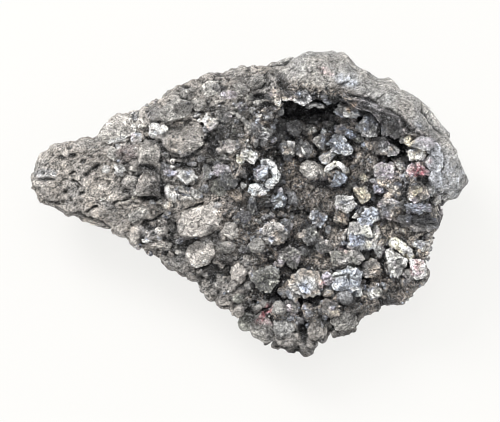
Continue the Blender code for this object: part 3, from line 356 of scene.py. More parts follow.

# Painted light and shade: places that are lighter (over 1) or darker than the stone round them, mostly for shade in
# gaps and light on faces, some for the stone's own tone: U, V, two radii, how much, a turn if any.
# All were set one by one. Many answer to a gap or a light face that can be seen, and the others stand where the
# render and the photograph differed most once both were blurred.
SHADES = (
    # The tapered end: a light flat face, light folds below it, a brown band above.
    (-35.6, 2.6, 4.2, 3.4, 1.85), (-37.0, -4.0, 2.8, 1.6, 2.0, -20), (-26.0, -0.7, 3.4, 1.4, 1.5),
    (-32.3, 5.1, 1.9, 1.3, 2.1), (-41.8, 6.8, 2.4, 2.6, 1.6), (-35.0, 11.2, 4.6, 2.8, 0.7),
    (-28.6, 4.0, 1.3, 2.4, 0.58), (-28.2, 10.6, 2.4, 1.9, 0.68), (-44.0, 0.2, 3.2, 1.4, 0.72),
    (-33.1, 7.8, 0.9, 0.9, 1.15), (-34.4, 8.3, 2.4, 1.2, 0.55), (-28.7, 8.5, 1.7, 1.3, 0.46),
    (-24.6, -2.8, 1.6, 1.6, 1.75), (-22.8, 0.6, 1.4, 1.3, 1.6), (-32.4, 0.6, 3.4, 1.0, 1.35, -8),
    (-30.6, -3.8, 3.0, 1.3, 0.58, -15), (-47.0, 4.8, 2.0, 0.9, 0.8), (-27.4, -8.2, 3.6, 1.1, 1.65, -15),
    (-49.0, 3.2, 1.6, 2.0, 1.2),
    # The whitish boulder and the steel-grey one above it.
    (-30.0, 13.7, 3.4, 1.7, 2.8, 15), (-32.6, 17.0, 1.8, 1.2, 0.72), (-25.6, 17.4, 1.9, 1.8, 1.8, 30),
    (-27.0, 21.4, 3.6, 1.0, 1.25, 15), (-21.8, 20.6, 1.9, 2.5, 0.62),
    # Painted shade in the gaps under and beside the grey knob and the dark ball.
    (-22.7, 7.3, 3.4, 1.5, 0.26, -8), (-21.4, 2.6, 1.9, 2.4, 0.55), (-23.3, 10.6, 2.4, 1.6, 1.15),
    (-23.4, 13.4, 2.8, 1.0, 0.58),
    # The shoulder: boulder, bright chips, painted shade in the crevices, and the brown block.
    (-16.0, 16.4, 3.8, 1.5, 0.62, 4), (-14.8, 11.9, 3.6, 1.3, 1.8), (-14.6, 18.8, 4.4, 1.3, 2.1),
    (-21.9, 16.6, 1.7, 1.6, 1.25), (-8.8, 18.6, 1.7, 1.4, 0.8), (-9.0, 10.0, 3.0, 2.2, 0.28),
    (-8.8, 21.4, 1.6, 1.2, 0.6), (-4.6, 16.4, 3.2, 3.8, 0.45), (-15.0, 24.8, 4.2, 1.8, 0.8, 15),
    (-1.6, 27.8, 4.8, 1.8, 0.58, 8), (1.8, 24.4, 2.4, 1.6, 0.5), (-1.6, 21.4, 2.2, 2.2, 0.52),
    (-7.0, 23.2, 2.2, 1.9, 1.95), (-0.6, 19.4, 2.2, 1.3, 0.66, 25), (-3.6, 20.2, 1.3, 1.0, 1.35),
    (4.6, 30.0, 2.6, 1.4, 0.66, -30), (8.0, 26.8, 3.4, 1.5, 0.22, -60), (8.6, 22.4, 3.8, 1.6, 4.4),
    (-14.8, 5.6, 2.5, 1.9, 0.95, -20), (-17.2, 1.3, 1.6, 2.0, 1.55), (-13.6, 7.6, 4.2, 1.0, 0.5, -8),
    (-19.0, 5.4, 1.2, 2.6, 0.6, 30), (-14.4, 0.4, 3.2, 1.8, 1.42, -10), (-5.4, 3.4, 3.8, 2.2, 0.5),
    (1.0, -0.2, 4.4, 1.8, 0.3, 10), (-7.2, -1.5, 1.7, 1.8, 2.4), (-12.6, -3.4, 2.4, 2.0, 1.15),
    (-7.2, 9.2, 1.6, 1.0, 1.25), (-20.0, 8.8, 1.4, 2.4, 0.62), (-19.6, -2.2, 1.4, 3.0, 0.78),
    # Deep shadow round the pale nodules, and the slope below them.
    (-13.6, -9.8, 4.4, 1.6, 0.23, 8), (-16.8, -12.6, 3.2, 1.4, 0.55, -20), (-8.9, -6.6, 1.1, 2.3, 0.36, -20),
    (-7.0, -12.4, 2.4, 1.4, 0.45, 30), (-5.3, -8.4, 1.8, 1.6, 1.45), (-5.8, -14.8, 1.5, 1.2, 1.45),
    (-17.9, -5.0, 1.0, 2.8, 0.5), (-5.0, -3.2, 1.4, 1.2, 0.62), (-4.6, -13.6, 2.0, 1.0, 0.6),
    (-2.7, -16.2, 1.7, 2.3, 0.82), (2.0, -14.4, 2.2, 2.0, 0.46), (0.6, -7.8, 1.5, 2.4, 0.37),
    (0.4, -21.2, 3.2, 1.3, 0.56), (2.8, -19.3, 2.0, 1.5, 0.38), (9.6, -16.8, 1.4, 1.2, 0.52),
    (7.7, -7.4, 1.6, 1.8, 0.31), (3.6, -24.0, 1.8, 1.2, 1.45), (-5.4, -18.8, 2.0, 1.2, 0.72),
    (-9.8, -19.0, 1.4, 3.4, 1.7, 20), (-5.0, -22.8, 2.2, 0.8, 1.35, 20), (0.4, -26.8, 2.6, 2.0, 0.42),
    (-20.2, -9.8, 4.0, 1.2, 2.0, -12), (-2.6, -24.2, 1.4, 1.6, 0.68),
    # The hollow: painted shade on the dark back of it, painted light on the crystals under the lip, painted shade in
    # the gaps, and the bare dark floor.
    (13.6, 18.9, 7.0, 1.4, 0.6), (17.3, 18.2, 1.5, 1.3, 1.8), (14.4, 22.3, 4.0, 1.4, 2.9, 6),
    (23.8, 21.0, 2.2, 1.3, 1.8), (15.0, 24.2, 2.4, 0.9, 2.2), (5.6, 15.8, 1.8, 2.4, 0.5),
    (1.4, 12.2, 2.8, 1.8, 0.66, -30), (12.6, 13.9, 2.0, 1.4, 0.78), (23.4, 18.6, 2.2, 1.2, 0.68),
    (18.0, 11.0, 2.6, 1.5, 1.85), (24.0, 10.4, 2.2, 1.9, 3.7), (14.6, 5.8, 3.4, 1.8, 1.7, 40),
    (19.1, 7.6, 2.8, 1.1, 2.8, 15), (10.6, 9.9, 1.8, 1.4, 2.4), (25.0, 6.8, 1.3, 2.6, 0.72),
    (20.2, 15.2, 1.6, 1.3, 0.52), (24.2, 15.8, 1.6, 1.4, 1.45), (4.6, 12.4, 2.4, 1.3, 0.7),
    (29.4, 10.2, 1.5, 1.8, 0.6), (32.4, 12.0, 2.6, 2.3, 3.0), (28.8, 18.4, 1.6, 1.5, 2.9), (34.7, 8.4, 2.0, 3.4, 3.6),
    (33.0, 1.8, 2.2, 2.0, 1.9), (29.4, 5.1, 3.2, 1.5, 3.6), (38.2, 3.7, 3.4, 1.3, 0.24, 8),
    (39.6, 10.4, 1.9, 2.6, 4.2), (19.8, 0.6, 2.6, 1.2, 0.58), (14.4, -1.6, 4.8, 1.7, 0.42, 14),
    (42.0, 1.1, 2.4, 1.0, 1.8), (-1.8, 3.8, 1.4, 1.2, 1.55), (39.8, -2.0, 2.4, 1.1, 1.8), (28.2, -1.2, 1.4, 1.3, 0.5),
    (28.9, -4.9, 1.8, 1.4, 2.9), (24.0, -5.2, 1.8, 1.0, 0.52), (43.4, 5.4, 2.0, 1.8, 0.68),
    (40.6, 16.2, 2.6, 0.9, 0.7, -30), (44.0, 12.4, 1.4, 1.4, 0.8), (23.6, -1.5, 2.0, 1.9, 3.5),
    (16.5, -5.1, 2.2, 1.0, 1.6, -50), (22.2, -8.6, 1.8, 1.2, 1.6), (34.8, -6.1, 2.4, 1.1, 2.6, -15),
    (20.8, -5.2, 1.8, 0.9, 0.38), (29.9, -10.8, 1.9, 1.5, 3.4), (28.8, -14.4, 1.6, 1.1, 0.6),
    (26.6, -11.9, 2.0, 0.6, 0.5, -8), (36.2, -13.2, 2.8, 1.7, 2.3, -55), (40.6, -7.7, 2.2, 1.8, 3.0),
    (33.8, -16.4, 1.8, 1.6, 1.7, -40), (38.6, -11.1, 2.6, 1.5, 2.4), (38.0, -6.8, 2.0, 1.0, 1.5),
    (31.2, -23.7, 2.8, 1.3, 0.42, 20), (33.0, -7.4, 2.2, 0.8, 0.62, -35), (27.6, -9.4, 2.8, 1.2, 1.8),
    (30.7, -15.5, 1.3, 1.8, 0.48), (19.8, -11.8, 1.7, 1.5, 0.48), (19.6, -14.6, 1.0, 1.6, 0.6),
    (40.8, -17.0, 1.3, 1.4, 1.4), (32.8, -20.8, 2.8, 2.4, 0.34, 10), (29.6, -19.8, 1.3, 1.5, 0.46),
    (22.6, -18.8, 2.2, 1.4, 2.3), (23.4, -23.5, 1.8, 1.0, 0.46), (36.8, -19.2, 2.2, 1.2, 0.6, 20),
    (26.4, -24.2, 5.0, 1.3, 0.38, 10), (14.8, -26.0, 2.0, 2.0, 0.45), (18.4, -19.3, 2.4, 1.5, 2.5),
    (26.4, -21.2, 2.6, 1.6, 3.6), (9.2, -20.8, 2.2, 1.8, 1.45), (12.8, -15.4, 3.8, 2.0, 0.4, -5),
    (13.8, -21.0, 2.2, 1.2, 1.5), (9.6, -9.4, 2.2, 1.6, 0.38), (7.0, -10.8, 1.6, 1.0, 0.62),
    (24.2, -15.8, 2.0, 0.8, 0.72), (20.0, -23.0, 4.0, 0.8, 0.6, 4), (6.2, -28.6, 1.5, 1.4, 0.55),
    (16.0, -27.0, 1.2, 1.8, 0.65), (10.2, -34.2, 2.2, 1.5, 0.33), (18.9, -29.6, 3.2, 1.5, 2.2, 25),
    (7.2, -32.0, 1.6, 1.2, 1.4), (3.2, 15.4, 2.4, 2.2, 0.92), (13.4, 3.4, 3.0, 1.4, 1.15, -30),
    # The rim: painted light down its right side, lighter on the cheek, darker near the top.
    (42.0, 19.2, 5.8, 1.9, 2.35, -47), (46.0, 8.6, 2.6, 5.0, 1.2), (12.0, 32.6, 5.0, 1.6, 0.82, 10),
    (24.2, 24.4, 4.0, 1.0, 0.6, -14), (34.0, 25.4, 3.6, 1.0, 1.25, -35), (45.4, 1.8, 2.4, 1.8, 1.65),
    (43.9, -2.0, 1.5, 2.2, 3.2), (36.2, 22.4, 1.8, 1.4, 0.8, -40), (13.0, 26.6, 3.2, 1.3, 1.3),
    (22.0, 28.0, 2.6, 1.2, 1.15, -20),
)

# Pits of the rock that can be told apart: U, V, two radii, how deep they go and a turn if any.
PITS = (
    (-40.6, 10.9, 0.9, 0.6, 1.3), (-38.3, 9.6, 0.9, 0.4, 1.2, 40), (-35.5, 8.0, 0.6, 1.3, 1.6, -35),
    (-37.2, 6.6, 1.4, 0.4, 1.1, 35), (-39.4, 3.8, 0.5, 0.4, 1.4), (-38.7, 2.2, 0.8, 0.3, 1.0, 20),
    (-42.6, 2.6, 0.5, 0.4, 1.0), (-41.4, 12.6, 0.7, 0.4, 1.0, 10), (-26.5, -4.0, 0.9, 0.6, 1.6, -30),
    (-35.9, -0.9, 0.8, 0.3, 1.0, 20), (-47.2, 5.4, 2.2, 0.4, 0.9), (-45.0, 0.0, 1.6, 0.4, 1.2, -10),
    (-41.0, 7.0, 0.8, 0.3, 0.9, 20), (-43.4, 10.4, 1.2, 0.5, 0.8, -8), (-28.6, 9.0, 0.9, 0.4, 1.0),
    (-7.0, 26.4, 1.8, 0.9, 1.3, -6), (2.6, 24.2, 2.2, 0.7, 1.8), (-14.6, 26.2, 1.2, 0.4, 1.2),
    (-8.4, 13.6, 1.5, 3.0, 1.4, 6), (-22.4, 14.4, 1.6, 0.6, 1.4, -20), (-23.4, 8.0, 2.2, 0.7, 1.5, -10),
    (-20.2, 3.6, 0.8, 2.8, 1.6, 8), (-22.6, 0.9, 2.6, 0.6, 1.6), (-15.6, 8.6, 2.6, 0.6, 1.2, -8),
    (-14.2, 22.7, 1.1, 0.4, 1.2), (12.1, -29.0, 1.0, 3.8, 3.0, 8), (-26.8, 1.1, 1.8, 0.3, 0.9, 6),
)

# Small shifts that bring the edge of the skin to the outline: U, V, reach, and how far it moves in U and V.
NUDGES = (
    (-47.4, 11.2, 5.0, -0.65, 0.85), (-33.0, 17.4, 5.0, -0.5, 0.8), (0.0, 31.0, 5.0, 0.0, 1.0),
    (-11.5, 28.9, 5.0, -0.1, 0.3), (17.6, 34.6, 6.0, 0.1, 0.1), (23.5, 32.2, 5.0, 0.4, 0.5),
    (28.5, 29.2, 5.0, 0.5, 0.6), (40.6, 22.2, 6.0, 0.1, 0.2), (48.6, 3.0, 4.0, 0.6, -0.5),
    (43.6, -4.6, 4.0, 0.8, 0.0), (-43.5, -1.2, 5.0, -0.3, -1.0), (-1.2, -28.2, 4.5, -1.3, -0.8),
    (-10.6, -21.0, 5.0, 0.9, 1.5), (-23.0, -12.6, 5.0, 0.5, 0.9), (38.4, -20.6, 3.0, -0.3, 0.3),
    (33.4, -22.8, 4.5, 0.2, -0.8), (41.2, -12.2, 4.5, -0.6, 0.0), (-49.6, 1.6, 3.0, 0.5, 0.1),
    (11.5, 33.0, 4.0, -0.1, 0.8), (-41.9, 14.6, 3.0, 0.0, -0.8), (45.0, 0.4, 3.0, -0.5, 0.2),
    (4.6, -32.4, 3.0, 0.0, -0.7), (10.6, -34.4, 3.0, 0.0, -0.5), (-5.2, -24.2, 3.5, -0.9, -1.1),
    (-3.6, -26.2, 2.0, 0.2, 0.3), (-9.0, -22.4, 2.5, 0.8, 1.2), (1.9, -31.2, 3.0, 0.7, 0.9),
    (6.9, -34.0, 2.5, 0.0, 1.0), (15.0, -34.2, 2.5, -0.6, 0.9), (22.2, -30.4, 2.5, 0.0, 1.0),
    (17.8, -30.6, 2.4, -0.5, -1.9), (28.4, -24.8, 2.5, 0.3, -0.7), (33.8, -23.4, 2.5, 0.1, -0.3),
    (38.0, -20.6, 2.5, 0.2, -0.3), (41.2, -16.2, 2.5, -0.5, 0.1), (-31.0, 18.4, 2.8, -0.7, 1.6),
    (-29.4, 19.4, 2.2, -0.2, 0.6), (-26.0, 21.8, 1.8, 0.3, -0.7), (-35.6, 15.6, 2.5, 0.2, -0.6),
    (-23.0, 23.5, 3.0, 0.2, -0.6), (-19.6, 25.4, 2.0, -0.1, 0.2), (-11.9, 29.7, 3.0, 0.1, -0.4),
    (-6.9, 31.0, 3.0, 0.0, -0.5), (-31.4, -6.8, 3.5, -0.2, -0.5), (-26.2, -9.2, 2.2, -0.2, -0.4),
    (-29.4, -7.4, 2.2, 0.1, 0.4), (25.8, 31.6, 2.5, -0.3, -0.7), (33.0, 27.8, 2.5, 0.3, 0.4),
    (49.4, 8.4, 3.5, -0.4, 0.0), (42.9, -6.6, 2.5, -0.2, 0.1), (-11.4, -20.0, 2.0, -0.8, -0.7),
)

# Places on the floor of the hollow where few crystals grow: U, V and two radii.
BARE_PLACES = (
    (15.0, 2.0, 5.6, 3.6), (10.4, 6.0, 2.6, 4.6), (18.4, -7.2, 3.0, 3.0), (15.6, -13.8, 4.0, 2.8),
    (35.8, -6.2, 6.0, 2.2), (26.6, 9.8, 3.0, 2.8), (-3.0, 0.6, 3.4, 3.4), (1.4, -13.2, 2.6, 2.0),
    (10.4, -9.4, 2.4, 1.6), (30.6, -16.8, 1.6, 1.6), (11.4, -6.0, 1.8, 3.4),
)

# Large smooth boulders in the shoulder: U, V, two radii and a turn.
SMOOTH_BOULDERS = ((-15.2, 14.9, 5.2, 4.0, 14), (-21.6, 20.6, 1.8, 2.2, 0))

# Cracks in the face of the rock, as lines of U, V.
CRACKS = (
    ((-37.9, -2.2), (-35.0, -0.8)), ((-31.0, 0.2), (-28.4, 0.9), (-25.0, 1.2)), ((-20.2, -9.6), (-17.2, -4.8)),
    ((-41.0, 5.0), (-38.4, 4.2)), ((-24.6, -4.6), (-22.0, -3.8), (-20.0, -2.6)), ((-38.5, 6.2), (-35.0, 8.6)),
    ((-20.6, 13.8), (-18.6, 12.2), (-16.4, 10.9)), ((-32.0, 17.2), (-30.6, 16.6)), ((-33.0, 15.0), (-29.6, 15.2)),
)

# The edge of the lip that hangs over the hollow, from left to right, and on down the rim.
LIP = (
    (4.3, 30.5), (8.6, 26.8), (13.0, 27.4), (17.3, 26.5), (20.0, 26.8), (23.0, 25.3), (27.6, 24.5),
    (30.0, 22.2), (34.5, 20.5), (38.0, 17.0), (42.0, 14.7), (43.0, 9.0), (43.4, 1.0), (52.0, 1.0),
)


class DisplayFrame:
    """The display frame of the specimen, in mm, and its place in the row frame."""

    axes = np.array(Matrix.Rotation(LEAN, 3, "X"))

    def to_row(self, points: Array) -> Array:
        """Points of the display frame as points of the row frame, in metres."""
        return (points @ self.axes.T + STAND) * MM

    def from_row(self, points: Array) -> Array:
        """Points of the row frame, in metres, as points of the display frame."""
        return (points / MM - STAND) @ self.axes


DISPLAY = DisplayFrame()


def smoothstep(low: float, high: float, value: Array) -> Array:
    """Rises smoothly from 0 at low to 1 at high."""
    t = np.clip((value - low) / (high - low), 0.0, 1.0)
    return t * t * (3.0 - 2.0 * t)


def falling(low: float, high: float, value: Array) -> Array:
    """Falls smoothly from 1 at low to 0 at high."""
    return 1.0 - smoothstep(low, high, value)


def unit(way: Array) -> Array:
    """The way at a length of 1."""
    return way / np.linalg.norm(way)


def hashed(cells: Array, seed: int) -> Array:
    """An even number from 0 to 1 for each whole-numbered cell.

    Args:
        cells: whole numbers, with the three axes last.
        seed: picks one of many such sets.

    Returns:
        One number per cell.
    """
    mask = 0xFFFFFFFF
    mixed = cells[..., 0] * 73856093 ^ cells[..., 1] * 19349663 ^ cells[..., 2] * 83492791 ^ seed * 40503
    mixed = mixed & mask
    mixed = (mixed ^ mixed >> 15) * 2246822519 & mask
    mixed = (mixed ^ mixed >> 13) * 3266489917 & mask
    return (mixed ^ mixed >> 16) / float(mask)


def swell(points: Array, size: float, seed: int, octaves: int = 1) -> Array:
    """Smooth unevenness from -1 to 1.

    Args:
        points: places in mm.
        size: the length of the largest swells in mm.
        seed: picks one of many such fields.
        octaves: how many finer fields are added, each half as large and high.

    Returns:
        One height per point.
    """
    total = np.zeros(len(points))
    share = 0.0
    for octave in range(octaves):
        scaled = points * (2.0 ** octave / size) + seed * 7.31
        base = np.floor(scaled).astype(np.int64)
        part = scaled - base
        ease = part * part * (3.0 - 2.0 * part)
        value = np.zeros(len(points))
        for corner in np.ndindex(2, 2, 2):
            step = np.array(corner)
            weight = np.prod(np.where(step, ease, 1.0 - ease), axis=1)
            value += weight * hashed(base + step, seed + octave)
        total += (value * 2.0 - 1.0) * 0.5 ** octave
        share += 0.5 ** octave
    return total / share


def stirred(points: Array, reach: float, size: float, seed: int) -> Array:
    """The points pushed about unevenly, by up to the reach in mm."""
    return points + reach * np.stack([swell(points, size, seed + axis, 2) for axis in range(3)], axis=1)


def turned_reach(points: Array, place: Sequence[float], radii: Sequence[float], turn: float = 0.0) -> Array:
    """How far each point lies from a place seen from the front: 1 on the edge of an oval turned in degrees."""
    angle = math.radians(turn)
    u, v = points[:, 0] - place[0], points[:, 1] - place[1]
    far = (u * math.cos(angle) + v * math.sin(angle)) / radii[0]
    side = (v * math.cos(angle) - u * math.sin(angle)) / radii[1]
    return np.hypot(far, side)


def shading(points: Array) -> Array:
    """How much lighter or darker each point is painted for the places of painted light and shade that it lies in."""
    ragged = 0.30 * swell(points, 2.0, 73, 2)
    total = np.zeros(len(points))
    for u, v, across, along, factor, *turn in SHADES:
        reach = turned_reach(points, (u, v), (across, along), *turn) + ragged
        total += math.log(factor) * falling(0.40, 1.30, reach)
    return np.exp(np.clip(total, -1.8, 1.5) * smoothstep(-15.0, -10.0, points[:, 2]))


def below_lip(points: Array) -> Array:
    """How far in mm each point lies below the edge of the lip, seen from the front."""
    lip_u, lip_v = np.array(LIP).T
    return np.interp(points[:, 0], lip_u, lip_v) - points[:, 1]


def bare_share(points: Array) -> Array:
    """How bare the floor of the hollow is at each point, from 0 to 1."""
    share = np.zeros(len(points))
    for u, v, across, along in BARE_PLACES:
        reach = np.hypot((points[:, 0] - u) / across, (points[:, 1] - v) / along)
        share = np.maximum(share, falling(0.8, 1.15, reach))
    below = below_lip(points)
    band = smoothstep(-1.0, 0.0, below) * falling(4.0, 5.5, below) * smoothstep(19.0, 22.0, points[:, 0])
    return np.maximum(share, band * (points[:, 0] < 41.0))


@dataclass
class Cells:
    """The Voronoi cells under a set of points: distances to the two nearest middles, a number and a slope."""

    nearest: Array
    second: Array
    number: Array
    slope: Array

    def groove(self, width: float) -> Array:
        """1 on the borders between the cells, and 0 from a width off, in cell sizes."""
        return falling(0.0, width, self.second - self.nearest)


def voronoi(points: Array, size: float, seed: int) -> Cells:
    """The Voronoi cell that each point lies in.

    Args:
        points: places in mm.
        size: the spacing of the cells in mm.
        seed: picks one of many such sets.

    Returns:
        The cells. Distances are in cell sizes, and slope is the height of a plane tilted by the cell.
    """
    scaled = points / size + seed * 3.17
    base = np.floor(scaled).astype(np.int64)
    count = len(points)
    nearest, second = np.full(count, FAR), np.full(count, FAR)
    number, slope = np.zeros(count), np.zeros(count)
    for step in np.ndindex(3, 3, 3):
        cell = base + (np.array(step) - 1)
        jitter = np.stack([hashed(cell, seed + axis) for axis in range(3)], axis=1)
        apart = scaled - cell - jitter
        distance = np.sqrt((apart * apart).sum(axis=1))
        closer = distance < nearest
        second = np.where(closer, nearest, np.minimum(second, distance))
        tilt = (apart * (jitter[:, ::-1] * 2.0 - 1.0)).sum(axis=1)
        number = np.where(closer, hashed(cell, seed + 5), number)
        slope = np.where(closer, tilt, slope)
        nearest = np.where(closer, distance, nearest)
    return Cells(nearest, second, number, slope)


def linked(name: str, data: bpy.types.ID) -> bpy.types.Object:
    """A new object of the scene, made of the data."""
    obj = bpy.data.objects.new(name, data)
    bpy.context.scene.collection.objects.link(obj)
    return obj


def line_distance(points: Array, line: Sequence[tuple[float, float]]) -> Array:
    """The distance in mm from each point to a line of U, V, seen from the front."""
    best = np.full(len(points), 99.0)
    for start, end in zip(line[:-1], line[1:]):
        first, step = np.array(start), np.subtract(end, start)
        share = np.clip((points[:, :2] - first) @ step / (step @ step), 0.0, 1.0)
        best = np.minimum(best, np.linalg.norm(points[:, :2] - first - share[:, None] * step, axis=1))
    return best


@dataclass
class Shell:
    """A mesh in work: points in the display frame, faces, and what is known of each point."""

    points: Array
    faces: Array
    colour: Array = field(default_factory=lambda: np.zeros((0, 3)))
    gloss: Array = field(default_factory=lambda: np.zeros(0))
    height: Array | None = None

    def normals(self) -> Array:
        """The unit normal at each point."""
        corners = self.points[self.faces]
        across = np.cross(corners[:, 1] - corners[:, 0], corners[:, 2] - corners[:, 0])
        if self.faces.shape[1] == 4:
            across = np.cross(corners[:, 2] - corners[:, 0], corners[:, 3] - corners[:, 1])
        total = self._gathered(self.faces.ravel(), np.repeat(across, self.faces.shape[1], axis=0))
        return total / np.maximum(np.linalg.norm(total, axis=1, keepdims=True), 1e-12)

    def _gathered(self, targets: Array, values: Array) -> Array:
        """The sum of the values that go to each point."""
        count = len(self.points)
        return np.stack([np.bincount(targets, values[:, axis], count) for axis in range(values.shape[1])], axis=1)

    def around(self, values: Array) -> Array:
        """The mean of the values at each point's neighbours."""
        ends = np.stack([self.faces, np.roll(self.faces, -1, axis=1)], axis=2).reshape(-1, 2)
        targets = np.concatenate([ends[:, 0], ends[:, 1]])
        sources = np.concatenate([ends[:, 1], ends[:, 0]])
        total = self._gathered(targets, values[sources])
        return total / np.maximum(np.bincount(targets, minlength=len(self.points)), 1)[:, None]

    def smooth(self, rounds: int, share: Array | float = 0.5) -> None:
        """Moves each point towards its neighbours by a share of the way, several times."""
        amount = np.broadcast_to(np.asarray(share, float), (len(self.points),))[:, None]
        for _ in range(rounds):
            self.points = self.points + (self.around(self.points) - self.points) * amount

    def relief(self) -> Array:
        """How proud each point stands: 0 deep in a crevice, 0.5 on a flat, 1 on a ridge."""
        if self.height is not None:
            return self.height
        normals = self.normals()
        fine = ((self.points - self.around(self.points)) * normals).sum(axis=1)
        blurred = self.points
        for _ in range(5):
            blurred = self.around(blurred)
        broad = ((self.points - blurred) * normals).sum(axis=1)
        return np.clip(0.5 + 2.2 * fine + 1.3 * broad, 0.0, 1.0)

    def make(self, name: str) -> bpy.types.Object:
        """Makes the object, with its attributes, in the row frame."""
        mesh = bpy.data.meshes.new(name)
        mesh.from_pydata(DISPLAY.to_row(self.points).tolist(), [], self.faces.tolist())
        layer = mesh.attributes.new("stone_colour", "FLOAT_COLOR", "POINT")
        rgba = np.column_stack([self.colour, np.ones(len(self.points))])
        layer.data.foreach_set("color", rgba.astype(np.float32).ravel())
        for key, values in (("relief", self.relief()), ("gloss", self.gloss)):
            mesh.attributes.new(key, "FLOAT", "POINT").data.foreach_set("value", values.astype(np.float32))
        return linked(name, mesh)


def cut_back(reach: Array, towards: Array, distance: float) -> Array:
    """The reach that is left behind one more flat face, which stands out so far."""
    return np.minimum(reach, np.where(towards > GRAZING, distance / np.maximum(towards, GRAZING), FAR))


def joined(shells: Sequence[Shell]) -> Shell:
    """Several shells of the same kind of face as one."""
    starts = np.cumsum([0] + [len(shell.points) for shell in shells[:-1]])
    return Shell(
        np.vstack([shell.points for shell in shells]),
        np.vstack([shell.faces + start for shell, start in zip(shells, starts)]),
        np.vstack([shell.colour for shell in shells]),
        np.concatenate([shell.gloss for shell in shells]),
        np.concatenate([shell.relief() for shell in shells]),
    )


class StainsAndShade:
    """The coloured places of the specimen, and the dark patches of painted shade, laid over whatever stands there."""

    def __init__(self, patches: Sequence[Patch]) -> None:
        """Keeps the patches."""
        self.patches = patches

    def over(self, points: Array, colour: Array) -> Array:
        """Stains the colours of the points, and darkens them as painted shade where a patch is dark.

        Args:
            points: places in the display frame.
            colour: the colours before, one row per point.

        Returns:
            The colours, with the stains and the painted shade laid over them.
        """
        stained_and_shaded = colour.copy()
        ragged = swell(points, 1.0, 71, 3)
        flecks = smoothstep(-0.35, 0.15, swell(points, 0.55, 77))
        front = smoothstep(-14.0, -8.0, points[:, 2])
        for patch in self.patches:
            reach = turned_reach(points, (patch.u, patch.v), (patch.across, patch.along), patch.turn) + 0.55 * ragged
            share = falling(0.45, 1.2, reach) * patch.strength * front * (0.35 + 0.65 * flecks)
            value = stained_and_shaded.mean(axis=1, keepdims=True)
            target = np.array(patch.tint.value) * np.clip(0.25 + value / 0.22, 0.0, 1.5)
            stained_and_shaded += (target - stained_and_shaded) * share[:, None]
        return stained_and_shaded


STAINS_AND_SHADE = StainsAndShade(PATCHES)


